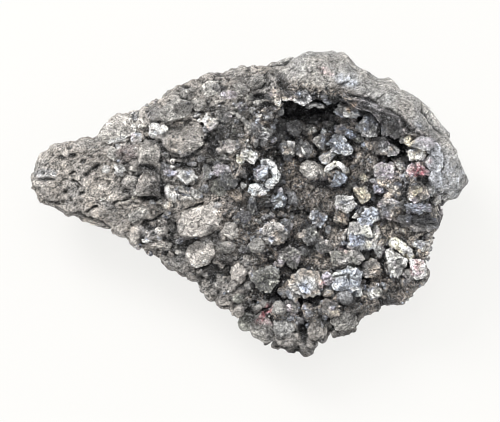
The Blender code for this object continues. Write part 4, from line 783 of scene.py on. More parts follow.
@dataclass
class Skin:
    """The continuous skin of the stone: the host rock and the floor of its hollow, from one fine mesh."""

    voxel: float = 0.42
    search: float = 0.002
    solids: tuple[str, ...] = ("host_rock", "vug_crystals")

    def __post_init__(self) -> None:
        """Makes the surface, and finds which part of it lines the hollow."""
        self.shell = self._remeshed(self.solids + tuple(SHOULDER_CRYSTALS))
        self.hollow = self._hollow_share()
        self._settle()
        self._weather()
        self.tree = BVHTree.FromPolygons(self.shell.points.tolist(), self.shell.faces.tolist())

    def _remeshed(self, names: Sequence[str]) -> Shell:
        """One closed fine mesh over the named solids."""
        whole = bmesh.new()
        for name in names:
            whole.from_mesh(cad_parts[name].data)
        bmesh.ops.remove_doubles(whole, verts=whole.verts, dist=1e-6)
        mesh = bpy.data.meshes.new("skin_in_work")
        whole.to_mesh(mesh)
        whole.free()
        obj = linked("skin_in_work", mesh)
        remesh = obj.modifiers.new("remesh", "REMESH")
        remesh.mode = "VOXEL"
        remesh.voxel_size = self.voxel * MM
        graph = bpy.context.evaluated_depsgraph_get()
        fine = obj.evaluated_get(graph).to_mesh()
        points = np.empty(len(fine.vertices) * 3)
        fine.vertices.foreach_get("co", points)
        faces = np.empty(len(fine.polygons) * 4, np.int64)
        fine.loops.foreach_get("vertex_index", faces)
        shell = self._largest(points.reshape(-1, 3), faces.reshape(-1, 4))
        bpy.data.objects.remove(obj)
        return shell

    def _largest(self, points: Array, faces: Array) -> Shell:
        """The shell without what was shut in between the solids."""
        label = np.arange(len(points))
        while True:
            least = label[faces].min(axis=1)
            spread = label.copy()
            np.minimum.at(spread, faces.ravel(), np.repeat(least, 4))
            spread = spread[spread]
            if (spread == label).all():
                break
            label = spread
        kept = label == np.bincount(label).argmax()
        renumbered = np.cumsum(kept) - 1
        return Shell(DISPLAY.from_row(points[kept]), renumbered[faces[kept[faces[:, 0]]]])

    def _hollow_share(self) -> Array:
        """1 where the surface lines the hollow, 0 on the rock, and a narrow blend between."""
        trees = {}
        for name in self.solids:
            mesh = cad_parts[name].data
            corners = [tuple(vertex.co) for vertex in mesh.vertices]
            trees[name] = BVHTree.FromPolygons(corners, [tuple(face.vertices) for face in mesh.polygons])
        row = DISPLAY.to_row(self.shell.points)
        nearer = np.zeros(len(row))
        for index, place in enumerate(row.tolist()):
            crust = trees["vug_crystals"].find_nearest(place, self.search)[3]
            if crust is not None:
                rock = trees["host_rock"].find_nearest(place, self.search)[3]
                nearer[index] = 1.0 if rock is None or crust < rock else 0.0
        share = nearer[:, None]
        for _ in range(4):
            share = self.shell.around(share)
        return share[:, 0]

    def _settle(self) -> None:
        """Rounds off the facets of the solids, and sinks the lone crystals' stumps."""
        self.shell.smooth(3, 0.5)
        self.shell.smooth(9, 0.5 * self.hollow)
        points, stump = self.shell.points, np.zeros(len(self.shell.points))
        for u, v, width, breadth, height, *_ in SHOULDER_CRYSTALS.values():
            apart = np.hypot(points[:, 0] - u, points[:, 1] - v)
            reach = 0.5 * math.sqrt(width * breadth) + 0.3
            stump = np.maximum(stump, falling(0.6 * reach, reach, apart) * 0.28 * height * (points[:, 2] > -6.0))
        self.shell.points = points - self.shell.normals() * stump[:, None]
        self.shell.smooth(2, 0.4)
        points, shift = self.shell.points, np.zeros((len(self.shell.points), 3))
        for u, v, reach, across, up in NUDGES:
            near = falling(0.3, 1.0, np.hypot(points[:, 0] - u, points[:, 1] - v) / reach)
            shift += near[:, None] * (across, up, 0.0)
        above = smoothstep(0.5, 3.0, DISPLAY.to_row(points)[:, 2] / MM)
        self.shell.points = points + shift * above[:, None]

    def zones(self) -> dict[str, Array]:
        """The share, from 0 to 1, that each point has in the parts of the surface."""
        points, normals = self.shell.points, self.shell.normals()
        u, over_lip = points[:, 0], -below_lip(points)
        facing = smoothstep(-0.1, 0.6, normals[:, 2])
        rock = 1.0 - self.hollow
        rim = smoothstep(-0.8, 0.5, over_lip) * smoothstep(2.0, 8.0, u) * rock
        under = smoothstep(-9.0, -5.0, over_lip) * smoothstep(20.0, 25.0, u) * falling(-0.8, 0.5, over_lip)
        # The dark back of the hollow under the lip, where the colour is painted as shadow.
        lip_shadow = smoothstep(-10.5, -7.5, over_lip) * smoothstep(6.5, 8.5, u) * falling(20.0, 23.0, u)
        return {
            "facing": facing,
            "rim": rim,
            "under_lip": under * (1.0 - rim),
            "lip_shadow": lip_shadow * falling(-2.6, -1.2, over_lip) * self.hollow,
            "nose": falling(-34.0, -22.0, u) * rock,
            "side": (1.0 - facing) * rock,
            "floor": self.hollow,
        }

    def _weather(self) -> None:
        """Lays the broken, pitted and gritty relief on the surface, and colours it."""
        zone = self.zones()
        points = self.shell.points
        rim, floor, nose = zone["rim"], zone["floor"], zone["nose"]
        bent = stirred(points, 1.2, 3.4, 101)
        lumps, knobs = voronoi(bent, 4.2, 3), voronoi(bent, 1.9, 9)
        grit, facets = voronoi(points, 0.82, 15), voronoi(bent, 3.0, 21)
        clumped = smoothstep(-0.15, 0.35, swell(points, 7.0, 2, 2))
        boulder, moat = self._boulder_share()
        calm = (1.0 - 0.75 * rim) * (1.0 - 0.8 * boulder)
        shoulder = smoothstep(-30.0, -24.0, points[:, 0]) * (1.0 - rim) * (1.0 - floor) * zone["facing"]
        dome = np.clip(1.0 - lumps.nearest, 0.0, 1.0) ** 0.7
        small_dome = np.clip(1.0 - knobs.nearest, 0.0, 1.0) ** 0.8
        ridges = 1.0 - 2.2 * np.abs(swell(bent, 3.2, 31, 3))
        fine_ridges = 1.0 - 2.2 * np.abs(swell(bent * (1.0, 1.9, 1.0), 1.5, 37, 2))
        height = (0.75 + 0.55 * shoulder) * (dome - 0.55) * calm * (1.0 - 0.4 * nose)
        height += 0.40 * (small_dome - 0.4) * clumped * calm
        bare = bare_share(points) * floor
        folds = 0.30 * fine_ridges * (1.0 - 0.6 * rim) * (1.0 - 0.6 * boulder) * (1.0 - 0.8 * bare)
        height += 0.34 * ridges * calm + folds * (1.0 - 0.5 * nose)
        crumbs = swell(points * (1.0, 1.0, 1.6), 1.1, 39, 2)
        height += 0.30 * crumbs * (1.0 - 0.6 * rim) * (1.0 - 0.5 * boulder) * (1.0 + 0.3 * bare)
        grains = (0.20 - 0.08 * rim) * (0.5 - grit.nearest)
        height += grains + 0.30 * facets.slope * (1.0 - 0.5 * floor) * (1.0 - boulder)
        pits = smoothstep(0.38, 0.60, swell(bent, 1.5, 41, 2)) * (1.0 - boulder)
        height -= pits * (0.26 * nose + 0.35 * (1.0 - rim) * (1.0 - nose))
        gaps = smoothstep(0.15, 0.42, swell(bent * (1.0, 1.2, 1.0), 3.2, 45, 3)) * (1.0 - boulder)
        gaps *= np.maximum(shoulder, floor * (1.0 - bare_share(points)))
        height += 0.5 * boulder - 0.7 * moat - 1.0 * gaps
        named, depth = self._pit_share()
        height -= 0.6 * depth
        beds = (points[:, 2] + 2.6 * swell(points, 11.0, 47, 2)) / 3.1
        within = np.abs(beds - np.floor(beds) - 0.5) * 2.0
        broken = smoothstep(-0.20, 0.35, swell(points, 8.0, 49, 2))
        height += (0.34 * (within - 0.5) * broken + 0.36 * swell(points, 3.6, 51, 3)) * zone["side"]
        streaks = line_distance(points, LIP) + 0.8 * points[:, 2] + 1.3 * swell(points, 4.0, 53, 2)
        layers = np.sin(streaks * 5.2) + 0.6 * np.sin(streaks * 9.7 + 1.0)
        height += 0.26 * layers * zone["under_lip"]
        cracked = np.zeros(len(points))
        for index, crack in enumerate(CRACKS):
            near = line_distance(points + 0.5 * swell(points, 1.6, 60 + index)[:, None], crack)
            cracked = np.maximum(cracked, falling(0.10, 0.45, near))
        cracked *= zone["facing"]
        on_base = smoothstep(0.3, 1.4, DISPLAY.to_row(points)[:, 2] / MM)
        height = np.clip(height - 0.9 * cracked, -2.2, 1.2) * on_base
        self.shell.points = points + self.shell.normals() * height[:, None]
        # The places that are darkened as painted shade: pits, cracks, gaps and the crevices beside the boulders.
        dark = np.maximum.reduce([0.7 * pits, cracked, 0.8 * named, 0.85 * gaps, 0.8 * moat])
        self._colour(zone, lumps, knobs, grit, dark, boulder, layers)

    def _pit_share(self) -> tuple[Array, Array]:
        """How dark and how deep each point lies in the pits that can be told apart."""
        points = self.shell.points
        share, depth = np.zeros(len(points)), np.zeros(len(points))
        ragged = 0.3 * swell(points, 1.0, 43, 2)
        front = smoothstep(0.0, 0.4, self.shell.normals()[:, 2])
        for u, v, across, along, deep, *turn in PITS:
            reach = turned_reach(points, (u, v), (across + 0.1, along + 0.1), *turn)
            inside = falling(0.55, 1.15, reach + ragged) * front
            share, depth = np.maximum(share, inside), np.maximum(depth, inside * deep)
        return share, depth

    def _boulder_share(self) -> tuple[Array, Array]:
        """1 on the few large smooth boulders of the shoulder, and 1 in the crevice below and beside each."""
        points = self.shell.points
        share, moat = np.zeros(len(points)), np.zeros(len(points))
        ragged = 0.12 * swell(points, 2.2, 49, 2)
        for u, v, across, along, turn in SMOOTH_BOULDERS:
            angle = math.radians(turn)
            apart = points[:, :2] - (u, v)
            far = (apart[:, 0] * math.cos(angle) + apart[:, 1] * math.sin(angle)) / across
            side = (apart[:, 1] * math.cos(angle) - apart[:, 0] * math.sin(angle)) / along
            reach = np.hypot(far, side) + ragged
            share = np.maximum(share, np.sqrt(np.clip(1.0 - reach * reach, 0.0, 1.0)))
            open_side = smoothstep(-0.3, 0.5, (far - side) / np.maximum(reach, 0.1))
            moat = np.maximum(moat, smoothstep(0.92, 1.04, reach) * falling(1.12, 1.34, reach) * open_side)
        front = smoothstep(-2.0, 2.0, points[:, 2])
        return share * front, moat * front

    def _colour(
        self, zone: dict[str, Array], lumps: Cells, knobs: Cells, grit: Cells, pits: Array, boulder: Array,
        layers: Array,
    ) -> None:
        """Colours the rock and the floor of the hollow, cell by cell.

        Args:
            zone: the shares of the parts of the surface.
            lumps: the large lumps.
            knobs: the small ones.
            grit: the grains.
            pits: 1 in the bottom of a pit, a crack, a gap or the crevice beside a boulder, where painted shade darkens
                the colour.
            boulder: 1 on the smooth boulders.
            layers: the height of the layers under the lip.
        """
        points = self.shell.points
        colour = np.tile(np.array(Tint.ROCK.value), (len(points), 1))
        for share, tint in (
            (zone["rim"] * 0.9, Tint.RIM), (zone["floor"], Tint.MATRIX), (zone["under_lip"] * 0.9, Tint.LAYERED),
        ):
            colour += (np.array(tint.value) - colour) * share[:, None]
        speck = (1.0 - 0.6 * zone["rim"]) * (1.0 - 0.5 * boulder) * (1.0 - 0.55 * zone["nose"])
        value = 1.0 + speck * (0.30 * (lumps.number - 0.5) + 0.40 * (knobs.number - 0.5) + 0.6 * (grit.number - 0.5))
        # Painted shade in the pits, cracks, gaps and crevices.
        value *= 1.0 - 0.85 * pits * (1.0 - 0.7 * zone["rim"]) * (1.0 - 0.4 * zone["nose"])
        value *= 1.0 + 0.20 * swell(points, 7.0, 81, 3) + 0.30 * swell(points, 1.8, 83, 3)
        beside = smoothstep(-27.0, -18.0, points[:, 0]) * (1.0 - zone["rim"]) * (1.0 - zone["floor"])
        value *= 1.0 - 0.22 * beside * (1.0 - boulder)
        # Painted shade on the faces turned downward on the right of the lower edge.
        down = smoothstep(0.1, 0.6, -self.shell.normals()[:, 1]) * smoothstep(14.0, 24.0, points[:, 0])
        value *= 1.0 - 0.42 * down * falling(-16.0, -8.0, points[:, 1])
        value *= 1.0 + 0.35 * zone["floor"] * smoothstep(16.0, 44.0, points[:, 0] - 1.2 * points[:, 1])
        # Painted shadow at the dark back of the hollow under the lip.
        value *= 1.0 - 0.84 * zone["lip_shadow"]
        value *= 1.0 + 0.95 * np.clip(layers, -0.95, 1.5) * zone["under_lip"]
        colour = colour * np.maximum(value, 0.10)[:, None]
        warm = 0.05 * swell(points, 4.0, 91, 2)[:, None] * np.array((1.0, 0.1, -1.0))
        self.shell.colour = np.clip(STAINS_AND_SHADE.over(points, colour * (1.0 + warm)), 0.005, 0.95)
        self.shell.gloss = np.clip(0.15 + 0.45 * zone["floor"] + 0.3 * (grit.number > 0.8), 0.0, 1.0)

    def foot(self, u: float, v: float) -> tuple[Array, Array]:
        """The first point of the surface met from the front at U, V, and its normal."""
        point, normal, _, _ = self.tree.ray_cast(Vector((u, v, VIEWER)), Vector((0.0, 0.0, -1.0)))
        if point is None:
            point, normal, _, _ = self.tree.find_nearest(Vector((u, v, 0.0)))
        normal = normal if normal.z > 0.0 else -normal
        return np.array(point), np.array(normal)

    def part(self, chosen: Array) -> Shell:
        """The faces whose first corner is chosen, as a shell of their own."""
        faces = self.shell.faces[chosen[self.shell.faces[:, 0]]]
        used = np.unique(faces)
        renumbered = np.zeros(len(self.shell.points), np.int64)
        renumbered[used] = np.arange(len(used))
        return Shell(
            self.shell.points[used], renumbered[faces], self.shell.colour[used], self.shell.gloss[used]
        )


class CrystalForge:
    """Grows crystals, lumps and nodules as closed bodies, and curved ridges as closed tubes."""

    def __init__(self, seed: int) -> None:
        """Starts the dice from a seed."""
        self.dice = np.random.default_rng(seed)
        self._balls: dict[int, tuple[Array, Array]] = {}

    def ball(self, level: int) -> tuple[Array, Array]:
        """Even directions round a middle and the triangles between them."""
        if level not in self._balls:
            sphere = bmesh.new()
            bmesh.ops.create_icosphere(sphere, subdivisions=level, radius=1.0)
            directions = np.array([vertex.co[:] for vertex in sphere.verts])
            triangles = np.array([[vertex.index for vertex in face.verts] for face in sphere.faces])
            sphere.free()
            self._balls[level] = (directions, triangles)
        return self._balls[level]

    def _way(self, least_rise: float = -1.0) -> Array:
        """A random direction that rises at least so much."""
        while True:
            way = unit(self.dice.normal(size=3))
            if way[2] >= least_rise:
                return way

    def crest(self, path: Sequence[tuple[float, float, float]], skin: Skin, half: float, tint: Tint) -> Shell:
        """A curved ridge with a broken, many-faced back.

        Args:
            path: U, V and the rise over the skin, in mm, along the ridge.
            skin: the skin that it stands on.
            half: half its width in mm.
            tint: its colour.

        Returns:
            Its shell.
        """
        corners = np.array(path)
        steps = np.r_[0.0, np.cumsum(np.linalg.norm(np.diff(corners[:, :2], axis=0), axis=1))]
        stops = np.linspace(0.0, steps[-1], max(10, int(steps[-1] / 0.2)))
        line = np.stack([np.interp(stops, steps, corners[:, axis]) for axis in range(3)], axis=1)
        floor = np.array([skin.foot(u, v)[0][2] for u, v, _ in line])
        for _ in range(6):
            line[1:-1] = 0.5 * line[1:-1] + 0.25 * (line[:-2] + line[2:])
            floor[1:-1] = 0.5 * floor[1:-1] + 0.25 * (floor[:-2] + floor[2:])
        ahead = np.gradient(line[:, :2], axis=0)
        side = np.column_stack([ahead[:, 1], -ahead[:, 0]]) / np.linalg.norm(ahead, axis=1)[:, None]
        middle = 2.0 * stops / stops[-1] - 1.0
        wide = half * np.sqrt(1.0 - 0.92 * middle ** 8)
        turn = np.linspace(0.0, 2.0 * math.pi, 20, endpoint=False)
        crown = floor + line[:, 2] * (1.0 - 0.35 * middle ** 8) - half
        reach = np.where(np.sin(turn)[None] > 0.0, half, np.maximum(crown - floor + 0.6, 0.3)[:, None])
        points = np.empty((len(stops), len(turn), 3))
        points[..., :2] = line[:, None, :2] + side[:, None, :] * (np.cos(turn)[None] * wide[:, None])[..., None]
        points[..., 2] = crown[:, None] + reach * np.sin(turn)[None]
        ends = points[[0, -1]].mean(axis=1)
        first = (np.arange(len(stops) - 1)[:, None] * len(turn) + np.arange(len(turn))[None]).ravel()
        after = (np.arange(len(stops) - 1)[:, None] * len(turn) + (np.arange(len(turn)) + 1) % len(turn)).ravel()
        rows = len(turn)
        faces = [np.column_stack([first, first + rows, after + rows]), np.column_stack([first, after + rows, after])]
        ring, turned = np.arange(rows), (np.arange(rows) + 1) % rows
        start = len(stops) * rows
        faces.append(np.column_stack([np.full(rows, start), ring, turned]))
        faces.append(np.column_stack([np.full(rows, start + 1), start - rows + turned, start - rows + ring]))
        whole = Shell(np.vstack([points.reshape(-1, 3), ends]), np.vstack(faces))
        seed = int(self.dice.integers(1, 900))
        cells = voronoi(whole.points + seed, 2.2 * half, seed)
        fine = voronoi(whole.points + seed, max(0.42, 0.6 * half), seed + 3)
        groove = cells.groove(0.14)
        rough = half * (0.30 * (cells.number - 0.5) + 0.55 * cells.slope - 0.16 * groove + 0.10 * fine.slope)
        whole.points = whole.points + whole.normals() * rough[:, None]
        # Darker in the grooves between the faces, as painted shade.
        tone = (0.85 + 0.35 * cells.number) * (0.80 + 0.40 * fine.number) * (1.0 - 0.36 * groove)
        colour = np.array(tint.value) * tone[:, None]
        whole.colour = np.clip(STAINS_AND_SHADE.over(whole.points, colour), 0.004, 0.95)
        whole.gloss = np.clip(0.4 + 0.6 * cells.number, 0.0, 1.0)
        return whole

    def grow(self, growth: Growth, foot: Array, outward: Array, level: int = 4) -> Shell:
        """Grows one crystal or nodule.

        Args:
            growth: its sizes, form and colour.
            foot: where it stands in the display frame.
            outward: the way that it grows.
            level: how fine a nodule's mesh is.

        Returns:
            Its shell.
        """
        half = 0.5 * np.array((growth.width, growth.breadth, growth.height))
        axes = self._axes(outward, growth.turn)
        middle = foot + outward * growth.height * (0.5 - growth.sunk)
        if growth.form is Form.ROUNDED:
            return self._nodule(growth, half, axes, middle, level)
        if growth.form is Form.LUMP:
            return self._lump(growth, half, axes, middle, level)
        return self._crumpled(growth, half, axes, middle, level)

    def _cut(self, directions: Array, faces: int, least: float) -> Array:
        """How far a body with so many flat faces reaches in each direction."""
        reach = np.full(len(directions), FAR)
        for distance in self.dice.uniform(least, 1.0, faces):
            reach = cut_back(reach, directions @ self._way(), distance)
        return np.minimum(reach, 1.16)

    def _crumpled(self, growth: Growth, half: Array, axes: Array, middle: Array, level: int) -> Shell:
        """A dark crystal: flat-sided, broken into stepped and tilted faces, with curved leaves over them.

        Args:
            growth: its sizes, form and colour.
            half: half its sizes.
            axes: its axes in the display frame.
            middle: its middle.
            level: how fine its mesh is.

        Returns:
            Its closed shell.
        """
        directions, triangles = self.ball(level)
        large = growth.width + growth.breadth > 8.0
        reach = self._cut(directions, 13 if large else 10, 0.62 if large else 0.54)
        share, step, leafed = growth.form.cells
        width = 2.0 * float(half[:2].mean())
        seed = int(self.dice.integers(1, 900))
        reach = reach * (1.0 + 0.26 * swell(directions, 0.9, seed + 30, 2))
        tone = np.ones(len(directions))
        if growth.form is Form.STAR:
            spikes = np.max([directions @ self._way() for _ in range(13)], axis=0)
            reach = reach * (0.35 + 0.75 * smoothstep(0.80, 0.98, spikes))
        if growth.form in (Form.CUPPED, Form.HORSESHOE):
            bowl = self._bowl(directions, growth.form is Form.HORSESHOE, seed)
            reach = reach * (1.0 - 0.26 * bowl)
            # Darker in the sunken middle, as painted shade, and lighter on the rim.
            tone = 1.25 - 0.55 * bowl
        place = directions * reach[:, None] * half + seed
        bent = stirred(place, 0.10 * width, 0.4 * width, seed)
        coarse, fine = voronoi(bent, share * width, seed), voronoi(bent, max(0.42, 0.36 * share * width), seed + 3)
        groove = coarse.groove(0.16)
        crease = fine.groove(0.16)
        apart = np.linalg.norm(place - seed - self._way() * half * 0.9, axis=1)
        waves = apart / max(0.46, 0.12 * width) + 2.6 * swell(place, 0.55 * width, seed + 7, 2)
        leaf = 1.0 - np.abs((waves - np.floor(waves)) * 2.0 - 1.0)
        rough = share * width * step * (0.50 * (coarse.number - 0.5) + 0.70 * coarse.slope - 0.22 * groove)
        rough += 0.52 * share * width * step * (0.40 * (fine.number - 0.5) + 0.80 * fine.slope)
        leafed = leafed * smoothstep(-0.35, 0.15, swell(place, 0.4 * width, seed + 9, 2))
        rough += leafed * 0.075 * width * (leaf - 0.5)
        rough = np.clip(rough, -0.30 * width, 0.22 * width)
        tone = tone * (0.72 + 0.56 * coarse.number) * (0.66 + 0.68 * fine.number)
        # Darker in the grooves and creases between the faces, as painted shade.
        tone = tone * (1.0 - 0.55 * groove) * (1.0 - 0.40 * crease) * (1.0 + leafed * (0.9 * leaf ** 2 - 0.40))
        tone = tone * (1.0 + 0.9 * (fine.number > 0.86) * (1.0 - groove))
        lines = falling(0.0, 0.10, np.abs(swell(bent, 0.34 * width, seed + 15, 3)))
        tone = tone * (1.0 + lines * np.where(coarse.number > 0.5, 0.55, -0.45))
        if growth.tint in SOFT_TINTS:
            tone = np.maximum(tone, 0.06) ** 0.52
        local = directions * (reach[:, None] * half) + directions * rough[:, None]
        points = local @ axes.T + middle
        plain = np.array((0.215, 0.212, 0.211))
        tinted = smoothstep(-0.35, 0.25, swell(place, 0.5 * width, seed + 11, 2))[:, None]
        colour = plain + (np.array(growth.tint.value) - plain) * (0.50 + 0.50 * tinted)
        if growth.tint in PURE_TINTS:
            colour = np.tile(np.array(growth.tint.value), (len(points), 1))
        grey = colour.mean(axis=1, keepdims=True)
        for accent in self.dice.choice(len(ACCENTS), 2, replace=False):
            hue = np.array(ACCENTS[accent].value)
            spots = smoothstep(0.05, 0.45, swell(place, 0.38 * width, seed + 20 + int(accent), 2))[:, None]
            colour = colour + ((hue / hue.mean()) ** 1.4 * grey - colour) * 0.6 * spots
        colour = STAINS_AND_SHADE.over(points, colour * np.maximum(tone, 0.06)[:, None])
        gloss = np.clip(0.35 + 0.65 * fine.number - 0.4 * groove, 0.0, 1.0)
        return Shell(points, triangles, np.clip(colour, 0.004, 0.72), gloss)

    def _bowl(self, directions: Array, open_side: bool, seed: int) -> Array:
        """1 in the sunken middle of the front of a crystal, and on its open side, 0 on its rim."""
        aside = np.hypot(directions[:, 0], directions[:, 1]) + 0.14 * swell(directions, 0.5, seed, 2)
        bowl = falling(0.36, 0.58, aside)
        if open_side:
            sideways = directions[:, 0] / np.maximum(np.hypot(directions[:, 0], directions[:, 1]), 1e-6)
            bowl = np.maximum(bowl, smoothstep(0.55, 0.85, sideways))
        return bowl * smoothstep(0.0, 0.35, directions[:, 2])

    def _nodule(self, growth: Growth, half: Array, axes: Array, middle: Array, level: int) -> Shell:
        """A rounded body, crazed all over with fine cracks.

        Args:
            growth: its sizes, form and colour.
            half: half its sizes.
            axes: its axes in the display frame.
            middle: its middle.
            level: how fine its mesh is.

        Returns:
            Its closed shell.
        """
        directions, triangles = self.ball(level)
        reach = np.full(len(directions), FAR)
        normals = np.array([self._way() for _ in range(20)])
        for normal, distance in zip(normals, self.dice.uniform(0.80, 1.0, 20)):
            reach = cut_back(reach, directions @ normal, distance)
        reach = np.minimum(reach, 1.06)
        seed = int(self.dice.integers(1, 900))
        shifted = directions * reach[:, None] * half + seed
        bent = stirred(shifted, 0.55, 1.1, seed)
        crazing = voronoi(bent, 1.5, seed)
        fine = voronoi(bent, 0.75, seed + 3)
        here = smoothstep(0.0, 0.35, swell(shifted, 1.8, seed + 5, 2))
        groove = crazing.groove(0.08) * here
        hair = fine.groove(0.08) * (1.0 - 0.5 * here)
        wrinkles = np.abs(swell(bent * (1.0, 1.8, 1.0), 1.5, seed + 8, 3))
        folds = 1.0 - 2.4 * wrinkles
        rough = 0.20 * swell(shifted, 1.8, seed, 3) + 0.34 * crazing.slope + 0.12 * fine.slope - 0.20 * groove
        rough += 0.15 * folds - 0.05 * hair
        local = directions * (reach[:, None] * half) + directions * (rough * min(1.0, half.min() / 2.2))[:, None]
        tone = 1.0 + 0.20 * (crazing.number - 0.5) + 0.30 * (fine.number - 0.5)
        tone = tone * (1.0 + 0.25 * swell(shifted, 1.4, seed, 3))
        tone = tone * (1.0 - 0.60 * groove) * (1.0 - 0.35 * hair)
        tone = tone * (1.0 - 0.45 * falling(0.0, 0.07, wrinkles) * (1.0 - here))
        points = local @ axes.T + middle
        colour = np.array(growth.tint.value) * np.maximum(tone, 0.08)[:, None]
        gloss = np.clip(0.25 + 0.5 * (fine.number > 0.7) - 0.2 * groove, 0.0, 1.0)
        return Shell(points, triangles, np.clip(STAINS_AND_SHADE.over(points, colour), 0.004, 0.95), gloss)

    def _lump(self, growth: Growth, half: Array, axes: Array, middle: Array, level: int) -> Shell:
        """A lump of the rough rock, gritty and unevenly rounded.

        Args:
            growth: its sizes, form and colour.
            half: half its sizes.
            axes: its axes in the display frame.
            middle: its middle.
            level: how fine its mesh is.

        Returns:
            Its closed shell.
        """
        directions, triangles = self.ball(level)
        reach = self._cut(directions, 12, 0.74)
        seed = int(self.dice.integers(1, 900))
        place = directions * reach[:, None] * half + seed
        grit, crumbs = voronoi(place, 0.62, seed), voronoi(place, 1.5, seed + 3)
        ridges = 1.0 - 2.2 * np.abs(swell(place * (1.0, 1.6, 1.0), 1.6, seed + 5, 3))
        broad = swell(place, 0.6 * float(half.mean()) + 0.6, seed + 7, 2)
        rough = 0.14 * float(half.mean()) * broad + 0.16 * ridges + 0.14 * (0.5 - grit.nearest) + 0.20 * crumbs.slope
        rough = rough * min(1.0, float(half.min()) / 1.4)
        points = (directions * (reach[:, None] * half) + directions * rough[:, None]) @ axes.T + middle
        tone = (1.0 + 0.8 * (grit.number - 0.5)) * (1.0 + 0.3 * (crumbs.number - 0.5))
        tone = tone * (1.0 + 0.20 * ridges + 0.25 * broad)
        colour = STAINS_AND_SHADE.over(points, np.array(growth.tint.value) * np.maximum(tone, 0.1)[:, None])
        return Shell(points, triangles, np.clip(colour, 0.004, 0.95), 0.15 + 0.3 * (grit.number > 0.8))

    def _axes(self, outward: Array, turn: float) -> Array:
        """Axes with the third outward, turned in degrees about it."""
        upright = Vector((0.0, 0.0, 1.0)).rotation_difference(Vector(outward)).to_matrix()
        return np.array(upright @ Matrix.Rotation(math.radians(turn), 3, "Z"))

    def scatter(self, feet: Array, outward: Array, sizes: Array, colour: Array) -> Shell:
        """Many tiny crystals at once, each a six-sided prism with a pointed cap.

        Args:
            feet: where each one stands.
            outward: the way that each one grows.
            sizes: how wide each one is, in mm.
            colour: the colour of each.

        Returns:
            All of them as one shell.
        """
        turn = np.arange(6) * math.pi / 3.0
        ring = np.stack([np.cos(turn), np.sin(turn), np.zeros(6)], axis=1) * 0.5
        form = np.vstack([ring * 0.9 - (0, 0, 0.4), ring + (0, 0, 0.32), [[0.06, 0.04, 0.62]]])
        sides = []
        for side in range(6):
            after = (side + 1) % 6
            sides += [(side, after, 6 + after), (side, 6 + after, 6 + side), (6 + side, 6 + after, 12)]
        count = len(feet)
        shape = form[None] * (1.0 + self.dice.uniform(-0.22, 0.22, (count, len(form), 3)))
        shape = shape * (sizes[:, None] * self.dice.uniform(0.75, 1.35, (count, 3)))[:, None, :]
        lean = outward + self.dice.normal(size=(count, 3)) * 0.5
        lean /= np.linalg.norm(lean, axis=1, keepdims=True)
        aside = np.cross(lean, self.dice.normal(size=(count, 3)))
        aside /= np.linalg.norm(aside, axis=1, keepdims=True)
        axes = np.stack([aside, np.cross(lean, aside), lean], axis=1)
        flat = (np.einsum("nij,njk->nik", shape, axes) + feet[:, None, :]).reshape(-1, 3)
        faces = (np.array(sides)[None] + (np.arange(count) * len(form))[:, None, None]).reshape(-1, 3)
        colours = STAINS_AND_SHADE.over(flat, np.repeat(colour, len(form), axis=0))
        # The foot of each is set deep in relief, where the crevice factor darkens it as painted shade.
        proud = np.tile(np.r_[np.zeros(6), np.full(7, 0.6)], count)
        return Shell(flat, faces, np.clip(colours, 0.004, 0.95), np.full(len(flat), 0.9), proud)


class Surroundings:
    """How deep each place lies among what stands round it, seen from the front of the specimen."""

    cell = 0.3
    size = (380, 290)
    low = np.array((-56.0, -42.0))
    ground = -30.0
    near, far = 1.2, 3.6

    def __init__(self, shells: Sequence[Shell]) -> None:
        """Maps the highest point of the shells over each small square of the front."""
        top = np.full(self.size, self.ground)
        for shell in shells:
            across, along = self._square(shell.points)
            np.maximum.at(top, (across, along), shell.points[:, 2])
        self.levels = {radius: self._blurred(top, round(radius / self.cell)) for radius in (self.near, self.far)}

    def _square(self, points: Array) -> tuple[Array, Array]:
        """The square that each point is in."""
        index = ((points[:, :2] - self.low) / self.cell).astype(np.int64)
        return np.clip(index[:, 0], 0, self.size[0] - 1), np.clip(index[:, 1], 0, self.size[1] - 1)

    def _blurred(self, heights: Array, reach: int) -> Array:
        """The mean height within so many squares each way."""
        for axis in (0, 1):
            padded = np.pad(heights, [(reach + 1, reach) if side == axis else (0, 0) for side in (0, 1)], mode="edge")
            sums = np.cumsum(padded, axis=axis)
            width = 2 * reach + 1
            ahead = np.take(sums, range(width, sums.shape[axis]), axis=axis)
            behind = np.take(sums, range(0, sums.shape[axis] - width), axis=axis)
            heights = (ahead - behind) / width
        return heights

    def light(self, shell: Shell, front: Array) -> Array:
        """The share of its colour that each point keeps under the painted shade of the hollows, with a little painted
        light on proud places.

        Args:
            shell: the shell.
            front: 1 where the surface faces the front, 0 on the sides and the back.

        Returns:
            One share per point.
        """
        across, along = self._square(shell.points)
        near = self.levels[self.near][across, along] - shell.points[:, 2]
        far = self.levels[self.far][across, along] - shell.points[:, 2]
        # Painted shade where a point lies deep among what stands round it, and painted light where it stands proud.
        dark = 0.78 * smoothstep(0.0, 1.2, near) + 0.36 * smoothstep(0.5, 4.5, far)
        lit = 0.42 * falling(-1.4, -0.1, near)
        return 1.0 - np.clip(dark - lit, -0.42, 0.93) * front


